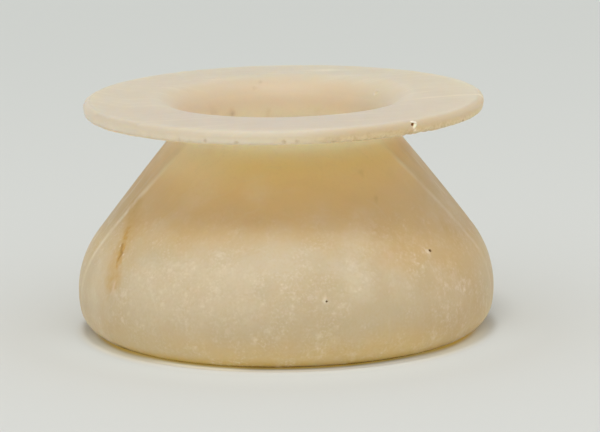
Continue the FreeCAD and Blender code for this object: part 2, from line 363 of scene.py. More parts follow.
BLEMISHES_SEEN = (
    spot("rim chip", 414.0, 125.0, Flaw.CHIP, radius_mm=0.9, depth_mm=0.4, strength=0.1),
    Blemish(
        "bruise over the rim chip",
        Flaw.BLOOM,
        ((411.5, 121.5), (415.5, 122.5)),
        radius_mm=0.45,
        strength=0.85,
    ),
    Blemish(
        "bruise in the rim chip", Flaw.BLOOM, ((415.6, 124.5), (414.2, 128.0)), radius_mm=0.5, strength=0.9
    ),
    spot("bruise under the rim chip", 415.0, 130.5, Flaw.BLOOM, radius_mm=0.45, strength=0.5),
    spot("nick in the rim's far edge", 352.0, 65.5, Flaw.CHIP, radius_mm=0.8, depth_mm=0.25, strength=0.15),
    spot("pit in the rim chip", 413.0, 124.2, Flaw.PIT, radius_mm=0.44, depth_mm=0.34),
    spot("rim pit, far left", 179.0, 140.0, Flaw.WORN_PIT, radius_mm=0.44, depth_mm=0.16, strength=0.14),
    spot("rim pit, left", 205.0, 141.0, Flaw.WORN_PIT, radius_mm=0.38, depth_mm=0.16, strength=0.26),
    spot(
        "rim pit, left of middle", 236.0, 143.0, Flaw.WORN_PIT, radius_mm=0.46, depth_mm=0.18, strength=0.24
    ),
    spot("rim pit, middle", 284.0, 142.0, Flaw.WORN_PIT, radius_mm=0.42, depth_mm=0.14, strength=0.22),
    spot(
        "rim pit beside the middle one",
        297.0,
        142.0,
        Flaw.WORN_PIT,
        radius_mm=0.44,
        depth_mm=0.13,
        strength=0.24,
    ),
    spot(
        "rim pit, right of middle", 333.0, 142.5, Flaw.WORN_PIT, radius_mm=0.44, depth_mm=0.18, strength=0.30
    ),
    spot("rim pit, far right", 463.0, 121.0, Flaw.PIT, radius_mm=0.40, depth_mm=0.20, strength=0.7),
    spot("shoulder pit", 430.0, 250.5, Flaw.PIT, radius_mm=0.40, depth_mm=0.36),
    spot("belly pit", 326.6, 301.5, Flaw.PIT, radius_mm=0.30, depth_mm=0.28),
    spot("bruise round the shoulder pit", 428.0, 252.0, Flaw.BLOOM, radius_mm=1.0, strength=0.50),
    spot("bruise round the belly pit", 324.6, 300.5, Flaw.BLOOM, radius_mm=0.9, strength=0.40),
    spot("throat spot", 260.0, 82.0, Flaw.SOIL, radius_mm=0.8, strength=0.16),
    spot("second throat spot", 254.0, 88.0, Flaw.SOIL, radius_mm=0.9, strength=0.12),
    spot("lip stain, left", 212.0, 110.0, Flaw.SOIL, radius_mm=2.2, strength=0.06),
    spot("lip stain, left of middle", 232.0, 112.5, Flaw.IRON, radius_mm=1.5, strength=0.28),
    spot("dark speck beside it", 232.5, 113.6, Flaw.SOIL, radius_mm=0.5, strength=0.32),
    spot("lip stain, middle", 268.0, 113.0, Flaw.IRON, radius_mm=1.4, strength=0.20),
    spot("dark speck in the middle", 272.5, 112.9, Flaw.SOIL, radius_mm=0.5, strength=0.32),
    Blemish(
        "dark line under the lip",
        Flaw.SOIL,
        ((206.0, 112.4), (220.0, 113.3), (234.0, 113.9)),
        radius_mm=0.5,
        strength=0.13,
    ),
    spot("lip stain, right", 318.0, 112.5, Flaw.IRON, radius_mm=1.3, strength=0.14),
    spot("shoulder spot", 376.0, 199.0, Flaw.SOIL, radius_mm=1.0, strength=0.12),
    spot("second shoulder spot", 361.0, 173.0, Flaw.SOIL, radius_mm=1.2, strength=0.10),
    spot("grey smudge", 259.0, 289.0, Flaw.SOIL, radius_mm=3.2, strength=0.07),
    spot("pale ring", 128.0, 315.0, Flaw.BLOOM, radius_mm=0.7, strength=0.26),
    spot("milky patch, left", 255.0, 190.0, Flaw.BLOOM, radius_mm=5.5, strength=0.10),
    Blemish("milky patch, right", Flaw.BLOOM, ((360.0, 234.0), (357.0, 290.0)), radius_mm=6.0, strength=0.12),
    Blemish(
        "broad milky patch, left", Flaw.BLOOM, ((146.0, 285.0), (232.0, 292.0)), radius_mm=12.0, strength=0.12
    ),
    Blemish(
        "milky haze beside the shoulder pit",
        Flaw.BLOOM,
        ((378.0, 250.0), (400.0, 284.0)),
        radius_mm=6.0,
        strength=0.10,
    ),
    spot("milky haze under the shoulder", 215.0, 243.0, Flaw.BLOOM, radius_mm=11.0, strength=0.07),
    spot("milky haze on the shoulder", 198.0, 193.0, Flaw.BLOOM, radius_mm=8.0, strength=0.10),
    # A painted highlight on the back of the rim's top.
    spot("painted highlight on the rim's back", 322.0, 70.5, Flaw.BLOOM, radius_mm=5.0, strength=0.22),
    spot("milky patch on the belly", 282.0, 276.0, Flaw.BLOOM, radius_mm=8.0, strength=0.05),
    spot("milky patch low on the left", 190.0, 320.0, Flaw.BLOOM, radius_mm=9.0, strength=0.09),
    Blemish(
        "honey stone over the foot",
        Flaw.IRON,
        ((335.0, 354.0), (385.0, 350.0), (425.0, 341.0)),
        radius_mm=3.2,
        strength=0.10,
    ),
    Blemish(
        "honey stone beside the vein",
        Flaw.IRON,
        ((126.0, 214.0), (113.0, 245.0)),
        radius_mm=3.0,
        strength=0.08,
    ),
    Blemish(
        "honey patch on the right shoulder",
        Flaw.IRON,
        ((440.0, 210.0), (453.0, 236.0)),
        radius_mm=5.0,
        strength=0.20,
    ),
    spot("honey patch, far right", 452.0, 266.0, Flaw.IRON, radius_mm=8.0, strength=0.12),
    spot("small honey patch, right", 442.0, 281.0, Flaw.IRON, radius_mm=2.6, strength=0.12),
    Blemish(
        "warm stone beside the crack",
        Flaw.IRON,
        ((135.0, 226.0), (129.0, 262.0)),
        radius_mm=3.4,
        strength=0.17,
    ),
    spot("honey patch left of the crack", 109.0, 262.0, Flaw.IRON, radius_mm=4.0, strength=0.16),
    Blemish(
        "iron stain, upper part",
        Flaw.IRON,
        ((134.5, 206.0), (130.5, 226.0), (126.0, 246.0)),
        radius_mm=4.2,
        strength=0.48,
    ),
    Blemish(
        "iron stain, lower part",
        Flaw.IRON,
        ((122.0, 247.0), (115.0, 264.0), (112.5, 281.0)),
        radius_mm=4.8,
        strength=0.52,
    ),
    Blemish(
        "crack, upper part",
        Flaw.CRACK,
        ((122.2, 244.6), (122.2, 247.0), (121.0, 250.0)),
        radius_mm=0.36,
        depth_mm=0.10,
        strength=0.32,
    ),
    Blemish(
        "crack, lower part",
        Flaw.CRACK,
        ((121.0, 250.0), (121.8, 254.0), (119.2, 257.5)),
        radius_mm=0.36,
        depth_mm=0.12,
        strength=0.34,
    ),
    Blemish(
        "crack's foot",
        Flaw.CRACK,
        ((118.6, 259.5), (117.0, 262.0)),
        radius_mm=0.28,
        depth_mm=0.15,
        strength=0.16,
    ),
    spot("pale fleck left of the crack", 120.2, 246.0, Flaw.BLOOM, radius_mm=0.42, strength=0.55),
    spot("pale fleck right of the crack", 123.6, 254.5, Flaw.BLOOM, radius_mm=0.45, strength=0.42),
    Blemish(
        "milky haze on the right flank",
        Flaw.BLOOM,
        ((418.0, 158.0), (448.0, 200.0)),
        radius_mm=5.0,
        strength=0.12,
    ),
    spot("milky haze on the shoulder, right", 362.0, 222.0, Flaw.BLOOM, radius_mm=6.0, strength=0.09),
    Blemish(
        "rust along the crack",
        Flaw.IRON,
        ((127.5, 230.0), (124.5, 240.0), (118.5, 262.0)),
        radius_mm=1.9,
        strength=0.9,
    ),
    # Painted shade along the line between the rim's top and its edge at the left end.
    Blemish(
        "painted shade line round the rim's left end",
        Flaw.SOIL,
        ((96.0, 114.4), (111.0, 119.4), (137.0, 124.8)),
        radius_mm=0.7,
        strength=0.09,
    ),
    Blemish("crack's pale foot", Flaw.BLOOM, ((114.0, 282.0), (113.0, 294.0)), radius_mm=0.7, strength=0.22),
    Blemish(
        "healed seam",
        Flaw.SOIL,
        ((112.5, 285.0), (112.0, 320.0), (113.5, 342.0)),
        radius_mm=1.1,
        strength=0.05,
    ),
    Blemish(
        "yellow stone beside the seam",
        Flaw.IRON,
        ((104.0, 270.0), (106.0, 330.0)),
        radius_mm=3.6,
        strength=0.19,
    ),
    Blemish(
        "pale stone beside the seam", Flaw.BLOOM, ((97.0, 280.0), (99.0, 315.0)), radius_mm=7.0, strength=0.08
    ),
)


@dataclass
class Outline:
    """A half profile in millimetres, given as corners that are rounded by a bend of their own."""

    corners: list[tuple[float, float, float]] = field(default_factory=list)

    def corner(self, out: float, up: float, bend: float = 0.0) -> None:
        """Adds a corner by its distance from the axis, its height and the radius that rounds it."""
        self.corners.append((out, up, bend))

    def arc(self, centre: Point, radius: float, start: float, end: float, step: float) -> None:
        """Adds a round stretch.

        Args:
            centre: The arc's centre.
            radius: Its radius.
            start: The angle at which it starts, in radians.
            end: The angle at which it ends.
            step: The longest distance between its points.
        """
        count = max(FEWEST_IN_ARC, math.ceil(abs(end - start) * radius / step))
        for index in range(count + 1):
            angle = start + (end - start) * index / count
            self.corner(centre[0] + radius * math.cos(angle), centre[1] + radius * math.sin(angle))

    def points(self, bend_step: float) -> list[Vector]:
        """The outline with its corners rounded.

        Args:
            bend_step: The longest distance between the points of a rounded corner.

        Returns:
            The points in order.
        """
        made: list[Vector] = []
        last = len(self.corners) - 1
        for index, (out, up, bend) in enumerate(self.corners):
            here = Vector((out, up))
            if bend == 0.0 or index in (0, last):
                made.append(here)
                continue
            before = (Vector(self.corners[index - 1][:2]) - here).normalized()
            after = (Vector(self.corners[index + 1][:2]) - here).normalized()
            opening = before.angle(after)
            reach = bend / math.tan(opening / 2)
            centre = here + (before + after).normalized() * (bend / math.sin(opening / 2))
            first = here + before * reach - centre
            turn = first.angle_signed(here + after * reach - centre)
            count = max(FEWEST_IN_BEND, math.ceil(abs(turn) * bend / bend_step))
            for part in range(count + 1):
                made.append(centre + Matrix.Rotation(-turn * part / count, 2) @ first)
        return made


@dataclass(frozen=True)
class JarShape:
    """The jar's sizes in millimetres: its outside, rim, mouth and hollow."""

    height: float
    body_radius: float
    rim_radius: float = 47.8
    rim_thickness: float = 3.4
    rim_edge_lean: float = 0.5
    rim_top_bend: float = 1.5
    rim_lower_bend: float = 1.0
    waist_radius: float = 26.9
    neck_bend: float = 4.0
    shoulder_bend: float = 800.0
    belly_height: float = 10.2
    belly_bend: float = 22.6
    heel_bend: float = 7.5
    throat_radius: float = 22.0
    throat_depth: float = 9.9
    throat_bend: float = 1.2
    lip_wall: float = 3.8
    lip_bend: float = 9.0
    lip_rise: float = 0.55
    hollow_wall: float = 10.0
    hollow_top: float = 20.0
    hollow_bend: float = 7.0
    floor_wall: float = 7.5
    floor_bevel: float = 8.0
    ring_pitch: float = 3.2
    ring_depth: float = 0.12
    coarse_step: float = 1.05
    flat_step: float = 2.6
    fine_step: float = 0.42
    heel_share: float = 0.8

    def outline(self) -> Outline:
        """The whole half profile, from the middle of the foot round to the middle of the floor.

        Returns:
            The outline, with the rim and the mouth as rounded corners.
        """
        underside = self.height - self.rim_thickness
        belly = Vector((self.body_radius - self.belly_bend, self.belly_height))
        drop = self.belly_height - self.heel_bend
        sideways = math.sqrt((self.belly_bend - self.heel_bend) ** 2 - drop**2)
        heel = Vector((belly.x + sideways, self.heel_bend))
        neck = Vector((self.waist_radius + self.neck_bend, underside - self.neck_bend))
        shoulder = self._shoulder_centre(neck, belly)

        heel_end = math.atan2(heel.y - belly.y, heel.x - belly.x)
        belly_end = math.atan2(belly.y - shoulder.y, belly.x - shoulder.x)
        shoulder_end = math.atan2(neck.y - shoulder.y, neck.x - shoulder.x)

        made = Outline()
        made.corner(0.0, 0.0)
        made.arc(heel, self.heel_bend, -math.pi / 2, heel_end, self.coarse_step * self.heel_share)
        made.arc(belly, self.belly_bend, heel_end, belly_end, self.coarse_step)
        made.arc(shoulder, self.shoulder_bend, belly_end, shoulder_end, self.coarse_step)
        made.arc(neck, self.neck_bend, shoulder_end + math.pi, math.pi / 2, self.coarse_step)
        made.corner(self.rim_radius - self.rim_edge_lean, underside, self.rim_lower_bend)
        made.corner(self.rim_radius, self.height, self.rim_top_bend)
        made.corner(self.throat_radius + self.lip_wall, self.height + self.lip_rise, self.lip_bend)
        made.corner(self.throat_radius, self.height - self.throat_depth, self.throat_bend)
        hollow_radius = self.body_radius - self.hollow_wall
        made.corner(hollow_radius, self.hollow_top, self.hollow_bend)
        made.corner(hollow_radius, self.floor_wall + self.floor_bevel, self.hollow_bend)
        made.corner(hollow_radius - self.floor_bevel, self.floor_wall, self.hollow_bend)
        made.corner(0.0, self.floor_wall)
        return made

    def _shoulder_centre(self, neck: Vector, belly: Vector) -> Vector:
        """The centre of the shoulder's arc, which touches the neck's bend and the belly's.

        Args:
            neck: The centre of the neck's bend.
            belly: The centre of the belly's.

        Returns:
            The centre.
        """
        gap = belly - neck
        to_neck = self.shoulder_bend + self.neck_bend
        to_belly = self.shoulder_bend - self.belly_bend
        forward = (gap.length_squared + to_neck**2 - to_belly**2) / (2 * gap.length)
        sideways = math.sqrt(to_neck**2 - forward**2)
        ahead = gap.normalized()
        return neck + ahead * forward + Vector((ahead.y, -ahead.x)) * sideways

    def profile(self) -> list[Vector]:
        """The half profile as evenly enough spaced points, with the boring tool's rings in the hollow.

        Returns:
            The points in millimetres.
        """
        spaced: list[Vector] = []
        corners = self.outline().points(self.fine_step)
        for start, end in zip(corners, corners[1:]):
            count = max(1, math.ceil((end - start).length / self._step_at((start + end) / 2)))
            spaced.extend(start.lerp(end, part / count) for part in range(count))
        spaced.append(corners[-1])
        return [self._ringed(point) for point in spaced]

    def _step_at(self, place: Vector) -> float:
        """How far apart the points may be: closer on the rim's edge, wider near the axis.

        Args:
            place: A place on the profile.

        Returns:
            The longest distance between points there.
        """
        at_rim = place.y > self.height - self.rim_thickness
        if at_rim and place.x > self.rim_radius - self.rim_thickness / 2:
            return self.fine_step
        if place.x < self.throat_radius and place.y < self.height / 2:
            return self.flat_step
        return self.coarse_step

    def _ringed(self, place: Vector) -> Vector:
        """Moves a point by the rings, if it is on the wall of the hollow.

        Args:
            place: The point.

        Returns:
            The point, moved or as it was.
        """
        low, high = self.floor_wall + self.floor_bevel / 2, self.height - self.throat_depth
        inner = self.body_radius - self.hollow_wall
        if not (low < place.y < high and self.throat_radius < place.x <= inner + self.ring_depth):
            return place
        if place.x > self._undercut_at(place.y) + self.ring_depth:
            return place
        wave = math.sin(math.tau * place.y / self.ring_pitch)
        return place + Vector((self.ring_depth * wave, 0.0))

    def _undercut_at(self, up: float) -> float:
        """How far the hollow's straight undercut is from the axis.

        Args:
            up: The height.

        Returns:
            The distance at that height.
        """
        high = self.height - self.throat_depth
        share = (high - up) / (high - self.hollow_top)
        inner = self.body_radius - self.hollow_wall
        return min(inner, self.throat_radius + (inner - self.throat_radius) * share)


@dataclass(frozen=True)
class Turning:
    """How the half profile is turned, and how far the carver's hand strays from it."""

    steps_round: int = 330
    front_crowding: float = 0.34
    wobble: float = 0.22 * MM
    wobble_size: float = 30.0 * MM
    wobble_layer: float = 0.0
    tool_marks: float = 0.06 * MM
    tool_mark_size: float = 6.5 * MM
    tool_mark_layer: float = 50.0
    foot_lift: float = 3.0 * MM
    shoulder_shift: float = 0.20 * MM
    shoulder: Span = (12.0 * MM, 30.0 * MM)
    rim_tilt: float = math.radians(0.23)
    rim_stretch: float = 0.006
    rim: Span = (46.0 * MM, 53.0 * MM)
    merge_distance: float = 0.001 * MM
    seed: int = 7

    def inputs(self, stone: bpy.types.Material) -> dict[str, tuple[str, object]]:
        """The tree's named inputs, each with its socket's type and value.

        Args:
            stone: The material that the tree sets.

        Returns:
            The type and value by name.
        """
        number, whole = "NodeSocketFloat", "NodeSocketInt"
        return {
            "Steps Round": (whole, self.steps_round),
            "Front Crowding": (number, self.front_crowding),
            "Wobble": (number, self.wobble),
            "Wobble Size": (number, self.wobble_size),
            "Tool Marks": (number, self.tool_marks),
            "Tool Mark Size": (number, self.tool_mark_size),
            "Foot Lift": (number, self.foot_lift),
            "Shoulder Shift": (number, self.shoulder_shift),
            "Rim Tilt": (number, self.rim_tilt),
            "Rim Stretch": (number, self.rim_stretch),
            "Seed": (whole, self.seed),
            "Stone": ("NodeSocketMaterial", stone),
        }

    def build_tree(self, stone: bpy.types.Material) -> bpy.types.GeometryNodeTree:
        """Makes the tree that turns a profile, closes the seam and the poles, and unsettles the surface.

        Args:
            stone: The material that the tree sets.

        Returns:
            The node tree.
        """
        tree = bpy.data.node_groups.new("turned_stone", "GeometryNodeTree")
        tree.interface.new_socket("Geometry", in_out="INPUT", socket_type="NodeSocketGeometry")
        for name, (kind, _) in self.inputs(stone).items():
            tree.interface.new_socket(name, in_out="INPUT", socket_type=kind)
        tree.interface.new_socket("Geometry", in_out="OUTPUT", socket_type="NodeSocketGeometry")

        board = Board(tree)
        given = board.node("NodeGroupInput")
        read = {socket.name: Signal(board, socket) for socket in given.outputs if socket.name}
        rows = board.add("GeometryNodeAttributeDomainSize", {"component": "MESH"}, {0: read["Geometry"]})
        columns = read["Steps Round"] + 1.0
        grid = board.add("GeometryNodeMeshGrid", sockets={"Vertices X": columns, "Vertices Y": rows})
        placed = self._strayed(board, read, self._turned(board, read, rows))
        moved = board.add("GeometryNodeSetPosition", sockets={0: grid, "Position": placed})
        closed = board.add("GeometryNodeMergeByDistance", sockets={0: moved, "Distance": self.merge_distance})
        real = board.add("GeometryNodeRealizeInstances", sockets={0: closed})
        dressed = board.add("GeometryNodeSetMaterial", sockets={0: real, "Material": read["Stone"]})
        board.node("NodeGroupOutput", sockets={0: dressed})
        return tree

    def _turned(self, board: Board, read: dict[str, Signal], rows: Signal) -> Signal:
        """Where each point of the grid goes: to a point of the profile, turned about the axis.

        Args:
            board: The tree.
            read: Its inputs by name.
            rows: How many points the profile has.

        Returns:
            The place.
        """
        index = board.add("GeometryNodeInputIndex")
        # Half a step keeps a rounded quotient on the right side of each whole number.
        column = board.math("FLOOR", (index + 0.5) / rows)
        row = index - column * rows
        sockets = {0: read["Geometry"], 1: board.add("GeometryNodeInputPosition"), 2: row}
        profile = board.add("GeometryNodeSampleIndex", {"data_type": "FLOAT_VECTOR"}, sockets)
        out, _, up = board.parts(profile)

        even = column / read["Steps Round"] * math.tau
        turned = even - read["Front Crowding"] * board.math("SINE", even)
        across = out * board.math("SINE", turned)
        ahead = out * board.math("COSINE", turned) * -1.0
        return board.combined(across, ahead, up)

    def _strayed(self, board: Board, read: dict[str, Signal], settled: Signal) -> Signal:
        """Shifts a place as an unsteady hand would, and sets the shoulder and the rim a little off true.

        Args:
            board: The tree.
            read: Its inputs by name.
            settled: The place on a true turning.

        Returns:
            The new place.
        """
        layers = (
            ("Wobble", "Wobble Size", self.wobble_layer),
            ("Tool Marks", "Tool Mark Size", self.tool_mark_layer),
        )
        stray = board.combined(0.0, 0.0, 0.0)
        for amount, size, layer in layers:
            sockets = {"Vector": settled, "W": read["Seed"] + layer, "Scale": 1.0 / read[size]}
            lumps = board.add("ShaderNodeTexNoise", {"noise_dimensions": "4D"}, sockets, "Color")
            centred = board.vector("SUBTRACT", lumps, (NOISE_MIDDLE,) * 3)
            stray = board.vector("ADD", stray, board.scaled(centred, read[amount] / NOISE_MIDDLE))
        stray_across, stray_ahead, stray_up = board.parts(stray)

        across, _, up = board.parts(settled)
        above_foot = (up / read["Foot Lift"]).step(0.0, 1.0)
        on_rim = up.over(self.rim)
        on_shoulder = up.over(self.shoulder) * (1.0 - on_rim)
        lean = on_shoulder * read["Shoulder Shift"] + on_rim * read["Rim Stretch"] * across
        tilt = on_rim * read["Rim Tilt"] * across
        moved_up = stray_up * above_foot + tilt
        return board.vector("ADD", settled, board.combined(stray_across + lean, stray_ahead, moved_up))

    def turn(self, profile: list[Vector], stone: bpy.types.Material) -> bpy.types.Mesh:
        """Turns a half profile into a closed mesh.

        Args:
            profile: The half profile's points in millimetres.
            stone: The material of the mesh.

        Returns:
            The mesh, with its faces outwards.
        """
        drawn = bpy.data.meshes.new("half_profile")
        edges = [(index, index + 1) for index in range(len(profile) - 1)]
        drawn.from_pydata([(point.x * MM, 0.0, point.y * MM) for point in profile], edges, [])
        holder = bpy.data.objects.new("turning", drawn)
        bpy.context.scene.collection.objects.link(holder)
        tree = self.build_tree(stone)
        modifier = holder.modifiers.new("turning", "NODES")
        modifier.node_group = tree
        values = self.inputs(stone)
        for item in tree.interface.items_tree:
            if item.in_out == "INPUT" and item.name in values:
                modifier[item.identifier] = values[item.name][1]
        evaluated = holder.evaluated_get(bpy.context.evaluated_depsgraph_get())
        turned = bpy.data.meshes.new_from_object(evaluated)
        bpy.data.objects.remove(holder)

        shaped = bmesh.new()
        shaped.from_mesh(turned)
        bmesh.ops.recalc_face_normals(shaped, faces=shaped.faces)
        if shaped.calc_volume(signed=True) < 0.0:
            bmesh.ops.reverse_faces(shaped, faces=shaped.faces)
        shaped.to_mesh(turned)
        shaped.free()
        return turned


@dataclass(frozen=True)
class Site:
    """Where on the jar a colour is worked out, in millimetres, and the clouds that bend its zones."""

    board: Board
    shape: JarShape
    place: Signal
    across: Signal
    ahead: Signal
    up: Signal
    out: Signal
    broad: Signal
    close: Signal

    @classmethod
    def read(cls, board: Board, shape: JarShape) -> "Site":
        """Reads the place from the object's own coordinates.

        Args:
            board: The material's tree.
            shape: The jar's sizes, which the colours follow.

        Returns:
            The site.
        """
        place = board.scaled(board.add("ShaderNodeTexCoord", output="Object"), 1.0 / MM)
        across, ahead, up = board.parts(place)
        out = board.math("SQRT", across * across + ahead * ahead)
        broad = board.cloud(place, Lumps(size=30.0, detail=1.0, seed=3.0))
        close = board.cloud(place, Lumps(size=8.0, detail=2.0, seed=5.0))
        return cls(board, shape, place, across, ahead, up, out, broad, close)

    def cloud(self, lumps: Lumps) -> Signal:
        """Noise at the place."""
        return self.board.cloud(self.place, lumps)


@dataclass(frozen=True)
class Palette:
    """The colours that several zones of the stone share."""

    milk: Colour = colour(0.66, 0.58, 0.43)
    amber: Colour = colour(0.53, 0.37, 0.165)
    vein_white: Colour = colour(0.80, 0.72, 0.54)
    crystal_white: Colour = colour(0.90, 0.83, 0.70)


@dataclass(frozen=True)
class Bedding:
    """How the beds of the stone lie, and the olive, milky and amber bands that follow them."""

    olive: Colour = colour(0.54, 0.39, 0.17)
    vein_forward: float = 15.5
    vein_lean: float = 0.11
    close_sway: float = 1.8
    broad_sway: float = 3.0
    right_curl: Span = (14.0, 50.0)
    right_curl_reach: float = 13.0
    left_curl: Span = (-36.0, -49.0)
    left_curl_reach: float = 12.0
    left_dip: Span = (0.0, -30.0)
    left_dip_reach: float = 4.5
    curl_up: Span = (-5.0, -3.0)
    olive_starts: Span = (-0.6, 0.8)
    olive_ends: Span = (26.0, 8.0)
    olive_top: Span = (52.0, 40.0)
    olive_share: float = 0.45
    flattening: float = 10.0
    band_sway: float = 3.0
    coarse: Lumps = Lumps(size=4.2, detail=3.0, seed=31.0)
    fine: Lumps = Lumps(size=0.9, detail=2.0, seed=32.0)
    behind_vein: Span = (0.0, 6.0)
    before_vein_share: float = 0.25
    milky_bands: Span = (0.02, 0.24)
    amber_bands: Span = (-0.02, -0.24)
    coarse_share: float = 0.5
    fine_bands: Span = (0.04, 0.22)
    fine_share: float = 0.3

    def depth(self, site: Site) -> Signal:
        """How far a place lies behind the pale vein, across the beds, which curl back at the rim's sides.

        Args:
            site: Where the stone is.

        Returns:
            The depth in millimetres.
        """
        across, rise = site.across, site.up - site.shape.height
        flat = site.ahead + self.vein_forward + self.vein_lean * rise
        flat = flat + site.close * self.close_sway + site.broad * self.broad_sway
        curl = across.over(self.right_curl) * self.right_curl_reach
        curl = curl + across.over(self.left_curl) * self.left_curl_reach
        curl = curl - across.over(self.left_dip) * self.left_dip_reach
        return flat - curl * rise.over(self.curl_up)

    def paint(self, site: Site, palette: Palette, stone: Signal, bed: Signal) -> Signal:
        """Adds darker olive stone just behind the vein, and soft parallel bands further back.

        Args:
            site: Where the stone is.
            palette: The shared colours.
            stone: The colour so far.
            bed: How far behind the vein the stone is.

        Returns:
            The new colour.
        """
        board = site.board
        olive = bed.over(self.olive_starts) * bed.over(self.olive_ends) * site.up.over(self.olive_top)
        stone = board.blend(olive * (self.olive_share + site.close), stone, self.olive)
        flat_across, flat_up = site.across / self.flattening, site.up / self.flattening
        flattened = board.combined(flat_across, bed + site.close * self.band_sway, flat_up)
        coarse, fine = board.cloud(flattened, self.coarse), board.cloud(flattened, self.fine)
        behind = self.before_vein_share + bed.over(self.behind_vein) * (1.0 - self.before_vein_share)
        stone = board.blend(coarse.over(self.milky_bands) * behind * self.coarse_share, stone, palette.milk)
        stone = board.blend(coarse.over(self.amber_bands) * behind * self.coarse_share, stone, palette.amber)
        return board.blend(fine.over(self.fine_bands) * behind * self.fine_share, stone, palette.milk)


@dataclass(frozen=True)
class BodyStone:
    """The body: honey stone on the shoulder that also stands for the rim's painted shadow, paler beige on the
    belly, and honey with painted bounce light at the heel; painted glow lies under the rim and painted shade
    at the foot.
    """

    beige: Colour = colour(0.55, 0.445, 0.265)
    # honey also stands for the painted shadow that the rim casts on the shoulder.
    honey: Colour = colour(0.60, 0.42, 0.18)
    # Painted glow on the neck under the rim, standing for light that passes through the rim.
    neck_glow_honey: Colour = colour(0.94, 0.66, 0.29)
    neck_glow_pale: Colour = colour(0.99, 0.775, 0.585)
    # heel_honey is honey stone with painted bounce light from the floor.
    heel_honey: Colour = colour(0.66, 0.485, 0.215)
    # Painted warm shade near the foot, and painted contact shadow at the sole.
    foot_warm_shade: Colour = colour(0.55, 0.35, 0.07)
    foot_shadow: Colour = colour(0.11, 0.062, 0.006)
    broad_sway: float = 8.0
    close_sway: float = 5.0
    # The sag bows the lower edge of the painted rim shadow across the shoulder; the shoulder span gives the
    # heights where it ends, and it fades out on the far left.
    sag_bow: float = 0.005
    sag_slope: float = 0.09
    sag_limit: float = 6.5
    shoulder: Span = (24.5, 32.5)
    shoulder_fades_left: Span = (-48.0, -34.0)
    honey_up: Span = (33.0, 49.0)
    pale_up: Span = (44.0, 51.0)
    flanks_up: Span = (38.0, 47.0)
    left_flank: Span = (-6.0, -26.0)
    left_flank_share: float = 0.6
    right_flank: Span = (24.0, 34.0)
    right_flank_share: float = 0.5
    heel: Span = (12.0, 2.0)
    heel_fades_left: Span = (-30.0, -8.0)
    heel_left_share: float = 0.35
    foot: Span = (3.6, 0.8)
    sole_shadow: Span = (1.5, 0.5)
    sole_sides: Span = (30.0, 46.0)
    sole_side_rise: float = 1.6
    sole_left: Span = (-6.0, -14.0)
    sole_left_loss: float = 0.16
    dusk: Lumps = Lumps(size=19.0, detail=3.0, seed=23.0)
    dusky: Span = (0.0, 0.26)
    dusk_share: float = 0.5
    side_sway: float = 12.0
    right_side: Span = (24.0, 44.0)
    right_end: Span = (53.0, 42.0)
    right_top: Span = (46.0, 34.0)
    right_share: float = 0.85
    left_side: Span = (36.0, 48.0)
    left_share: float = 0.12
    milky_lumps: Lumps = Lumps(size=13.0, detail=4.0, seed=21.0)
    milky_sway: float = 0.4
    milky: Span = (-0.02, 0.24)
    milky_top: Span = (42.0, 32.0)
    milky_share: float = 0.3

    def paint(self, site: Site, palette: Palette) -> Signal:
        """Gives the body its colours, with its painted shadow, glow and shade, from the neck down to the
        foot.

        Args:
            site: Where the stone is.
            palette: The shared colours.

        Returns:
            The colour.
        """
        blend, across, up = site.board.blend, site.across, site.up
        # Painted shadow of the rim: the honey shoulder ends where the rim's shadow ends, its edge bowed by
        # the sag and fading on the far left.
        level = up + site.broad * self.broad_sway + site.close * self.close_sway
        bow = across * across * self.sag_bow + across * self.sag_slope
        sag = site.board.math("MINIMUM", bow, self.sag_limit)
        shoulder = (level + sag).over(self.shoulder) * across.over(self.shoulder_fades_left)
        stone = blend(shoulder, self.beige, self.honey)
        # Painted glow under the rim: the neck is lighter towards the rim and on its sides, as if lit through
        # the rim.
        stone = blend(up.over(self.honey_up), stone, self.neck_glow_honey)
        stone = blend(up.over(self.pale_up), stone, self.neck_glow_pale)
        lit_flanks = across.over(self.left_flank) * self.left_flank_share
        lit_flanks = lit_flanks + across.over(self.right_flank) * self.right_flank_share
        stone = blend(up.over(self.flanks_up) * lit_flanks, stone, self.neck_glow_pale)
        # The heel's honey is partly the stone's colour and partly painted bounce light from the floor.
        kept = self.heel_left_share + across.over(self.heel_fades_left) * (1.0 - self.heel_left_share)
        stone = blend(level.over(self.heel) * kept, stone, self.heel_honey)
        # Painted warm shade near the foot, then painted contact shadow at the sole, higher at the sides and
        # weaker on the left.
        stone = blend(up.over(self.foot), stone, self.foot_warm_shade)
        lowest = up - abs(across).over(self.sole_sides) * self.sole_side_rise
        sole_shadow = lowest.over(self.sole_shadow) * (1.0 - across.over(self.sole_left) * self.sole_left_loss)
        return self._shade(site, palette, blend(sole_shadow, stone, self.foot_shadow))

    def _shade(self, site: Site, palette: Palette, stone: Signal) -> Signal:
        """Adds dusky clouds, amber sides and milky clouds.

        Args:
            site: Where the stone is.
            palette: The shared colours.
            stone: The colour so far.

        Returns:
            The new colour.
        """
        blend, across, sway = site.board.blend, site.across, site.close * self.side_sway
        dusk = site.cloud(self.dusk).over(self.dusky)
        right = (across + sway).over(self.right_side) * across.over(self.right_end)
        left = (sway - across).over(self.left_side)
        stone = blend(dusk * self.dusk_share, stone, palette.amber)
        stone = blend(right * site.up.over(self.right_top) * self.right_share, stone, palette.amber)
        stone = blend(left * self.left_share, stone, palette.amber)
        milky = (site.cloud(self.milky_lumps) + site.broad * self.milky_sway).over(self.milky)
        return blend(milky * site.up.over(self.milky_top) * self.milky_share, stone, palette.milk)


